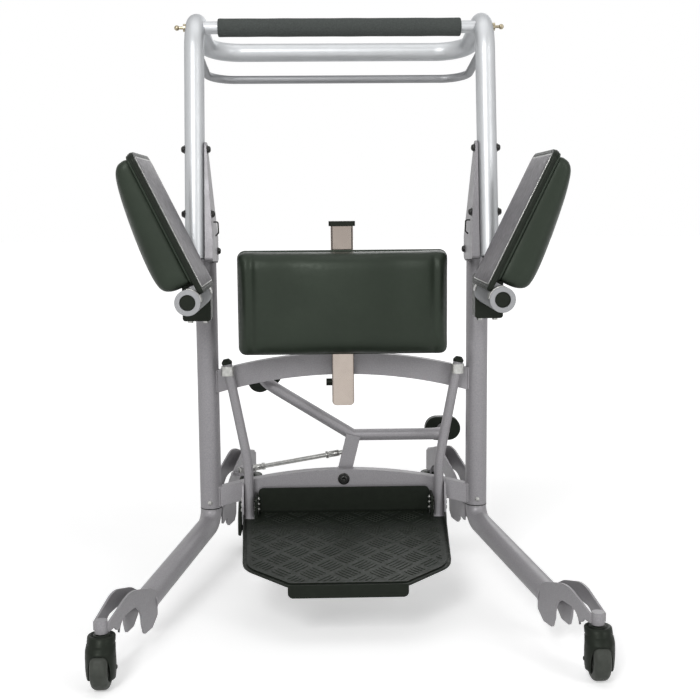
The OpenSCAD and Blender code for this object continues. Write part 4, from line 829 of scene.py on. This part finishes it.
knee_pad()
for side, sign in SIDES:
    seat_cushion(side, sign)
    seat_trim(side, sign)
    nodes[f"{side}_seat_board"].data.materials[0] = mats["black_plastic"].mat
for name in ("lower_grip_loop", "left_seat_sleeve", "right_seat_sleeve"):
    nodes[name].data.materials[0] = mats["loop"].mat
grip_foam()
tread_bars()
weld_beads()
gusset_bolts()
pivot_bolt()
footplate_bolts()
knee_plate_bolts()
tie_couplings()
castor_dressing()
castor_hoods()
pedal_ribs()


# Stage, light and camera

def seen(tree):
    """Socket that is 1 for what is seen directly, mirrored or through glass, and 0 for light on the object."""
    path = new_node(tree, "LightPath")
    level = path.outputs["Is Camera Ray"]
    for name in ("Is Glossy Ray", "Is Transmission Ray"):
        level = joined(tree, "MAXIMUM", level, path.outputs[name])
    return level


def floor():
    bpy.ops.mesh.primitive_plane_add(size=48)
    ob = bpy.context.object
    ob.name = "floor"
    m = bpy.data.materials.new("studio_floor")
    m.use_nodes = True
    tree = m.node_tree
    b = tree.nodes["Principled BSDF"]
    set_inputs(b, Base_Color=(0.9, 0.9, 0.9, 1), Roughness=0.8, Specular_IOR_Level=0.2)
    set_inputs(b, Emission_Color=(1, 1, 1, 1))
    # Where it is seen, the floor is lifted to the backdrop's white, but less near the object and its shadow
    away = new_node(tree, "VectorMath")
    away.operation = "LENGTH"
    tree.links.new(new_node(tree, "TexCoord").outputs["Object"], away.inputs[0])
    lift = mapped(tree, away.outputs["Value"], (0.8, 4.0), (0.42, 0.82))
    tree.links.new(joined(tree, "MULTIPLY", lift, seen(tree)), b.inputs["Emission Strength"])
    ob.data.materials.append(m)


def light(name, loc, target, power, size):
    d = bpy.data.lights.new(name, "AREA")
    d.energy = power
    d.shape = "RECTANGLE"
    d.size, d.size_y = size
    ob = bpy.data.objects.new(name, d)
    ob.location = loc
    ob.rotation_euler = (Vector(target) - Vector(loc)).to_track_quat("-Z", "Y").to_euler()
    scene.collection.objects.link(ob)


def studio():
    floor()
    world = bpy.data.worlds.new("studio")
    scene.world = world
    world.use_nodes = True
    tree = world.node_tree
    # Seen, mirrored or looked through, the surround is plain white; what it sheds on the object is softer
    split = new_node(tree, "SeparateXYZ")
    tree.links.new(new_node(tree, "TexCoord").outputs["Generated"], split.inputs["Vector"])
    shed = mapped(tree, split.outputs["Z"], (-0.3, 0.8), (0.10, 0.30), "SMOOTHSTEP")
    surround = tree.nodes["Background"]
    surround.inputs["Color"].default_value = (1, 1, 1, 1)
    tree.links.new(joined(tree, "MAXIMUM", shed, seen(tree)), surround.inputs["Strength"])
    light("key", (-1.0, -3.3, 2.5), (0, 0, 0.6), 68, (1.0, 1.6))
    light("fill", (2.4, -2.5, 1.7), (0, 0, 0.6), 24, (1.0, 2.0))
    light("top", (0, 0.0, 3.2), (0, 0, 0.5), 12, (2.6, 1.6))
    light("back", (0.8, 3.2, 2.2), (0, 0, 0.6), 20, (2.0, 1.6))
    scene.view_settings.view_transform = "Standard"
    scene.view_settings.look = "None"


def camera():
    """Camera at the photograph's viewpoint; its focal length is in pixels of a picture 700 pixels wide."""
    focal, width, sensor = 1150, 700, 36
    pitch, yaw, roll = (math.radians(v) for v in (7.2, 1.45, -0.47))
    fwd = Vector((math.sin(yaw) * math.cos(pitch), math.cos(yaw) * math.cos(pitch), -math.sin(pitch)))
    right = Vector((math.cos(yaw), -math.sin(yaw), 0))
    up = right.cross(fwd)
    r = right * math.cos(roll) + up * math.sin(roll)
    u = -right * math.sin(roll) + up * math.cos(roll)
    cam = bpy.data.cameras.new("camera")
    cam.sensor_width = sensor
    cam.sensor_fit = "HORIZONTAL"
    cam.lens = sensor * focal / width
    ob = bpy.data.objects.new("camera", cam)
    rot = Matrix((r, u, -fwd)).transposed()
    ob.matrix_world = Matrix.Translation((-0.045, COLUMN_Y - 2.4, 0.8)) @ rot.to_4x4()
    scene.collection.objects.link(ob)
    scene.camera = ob


studio()
camera()
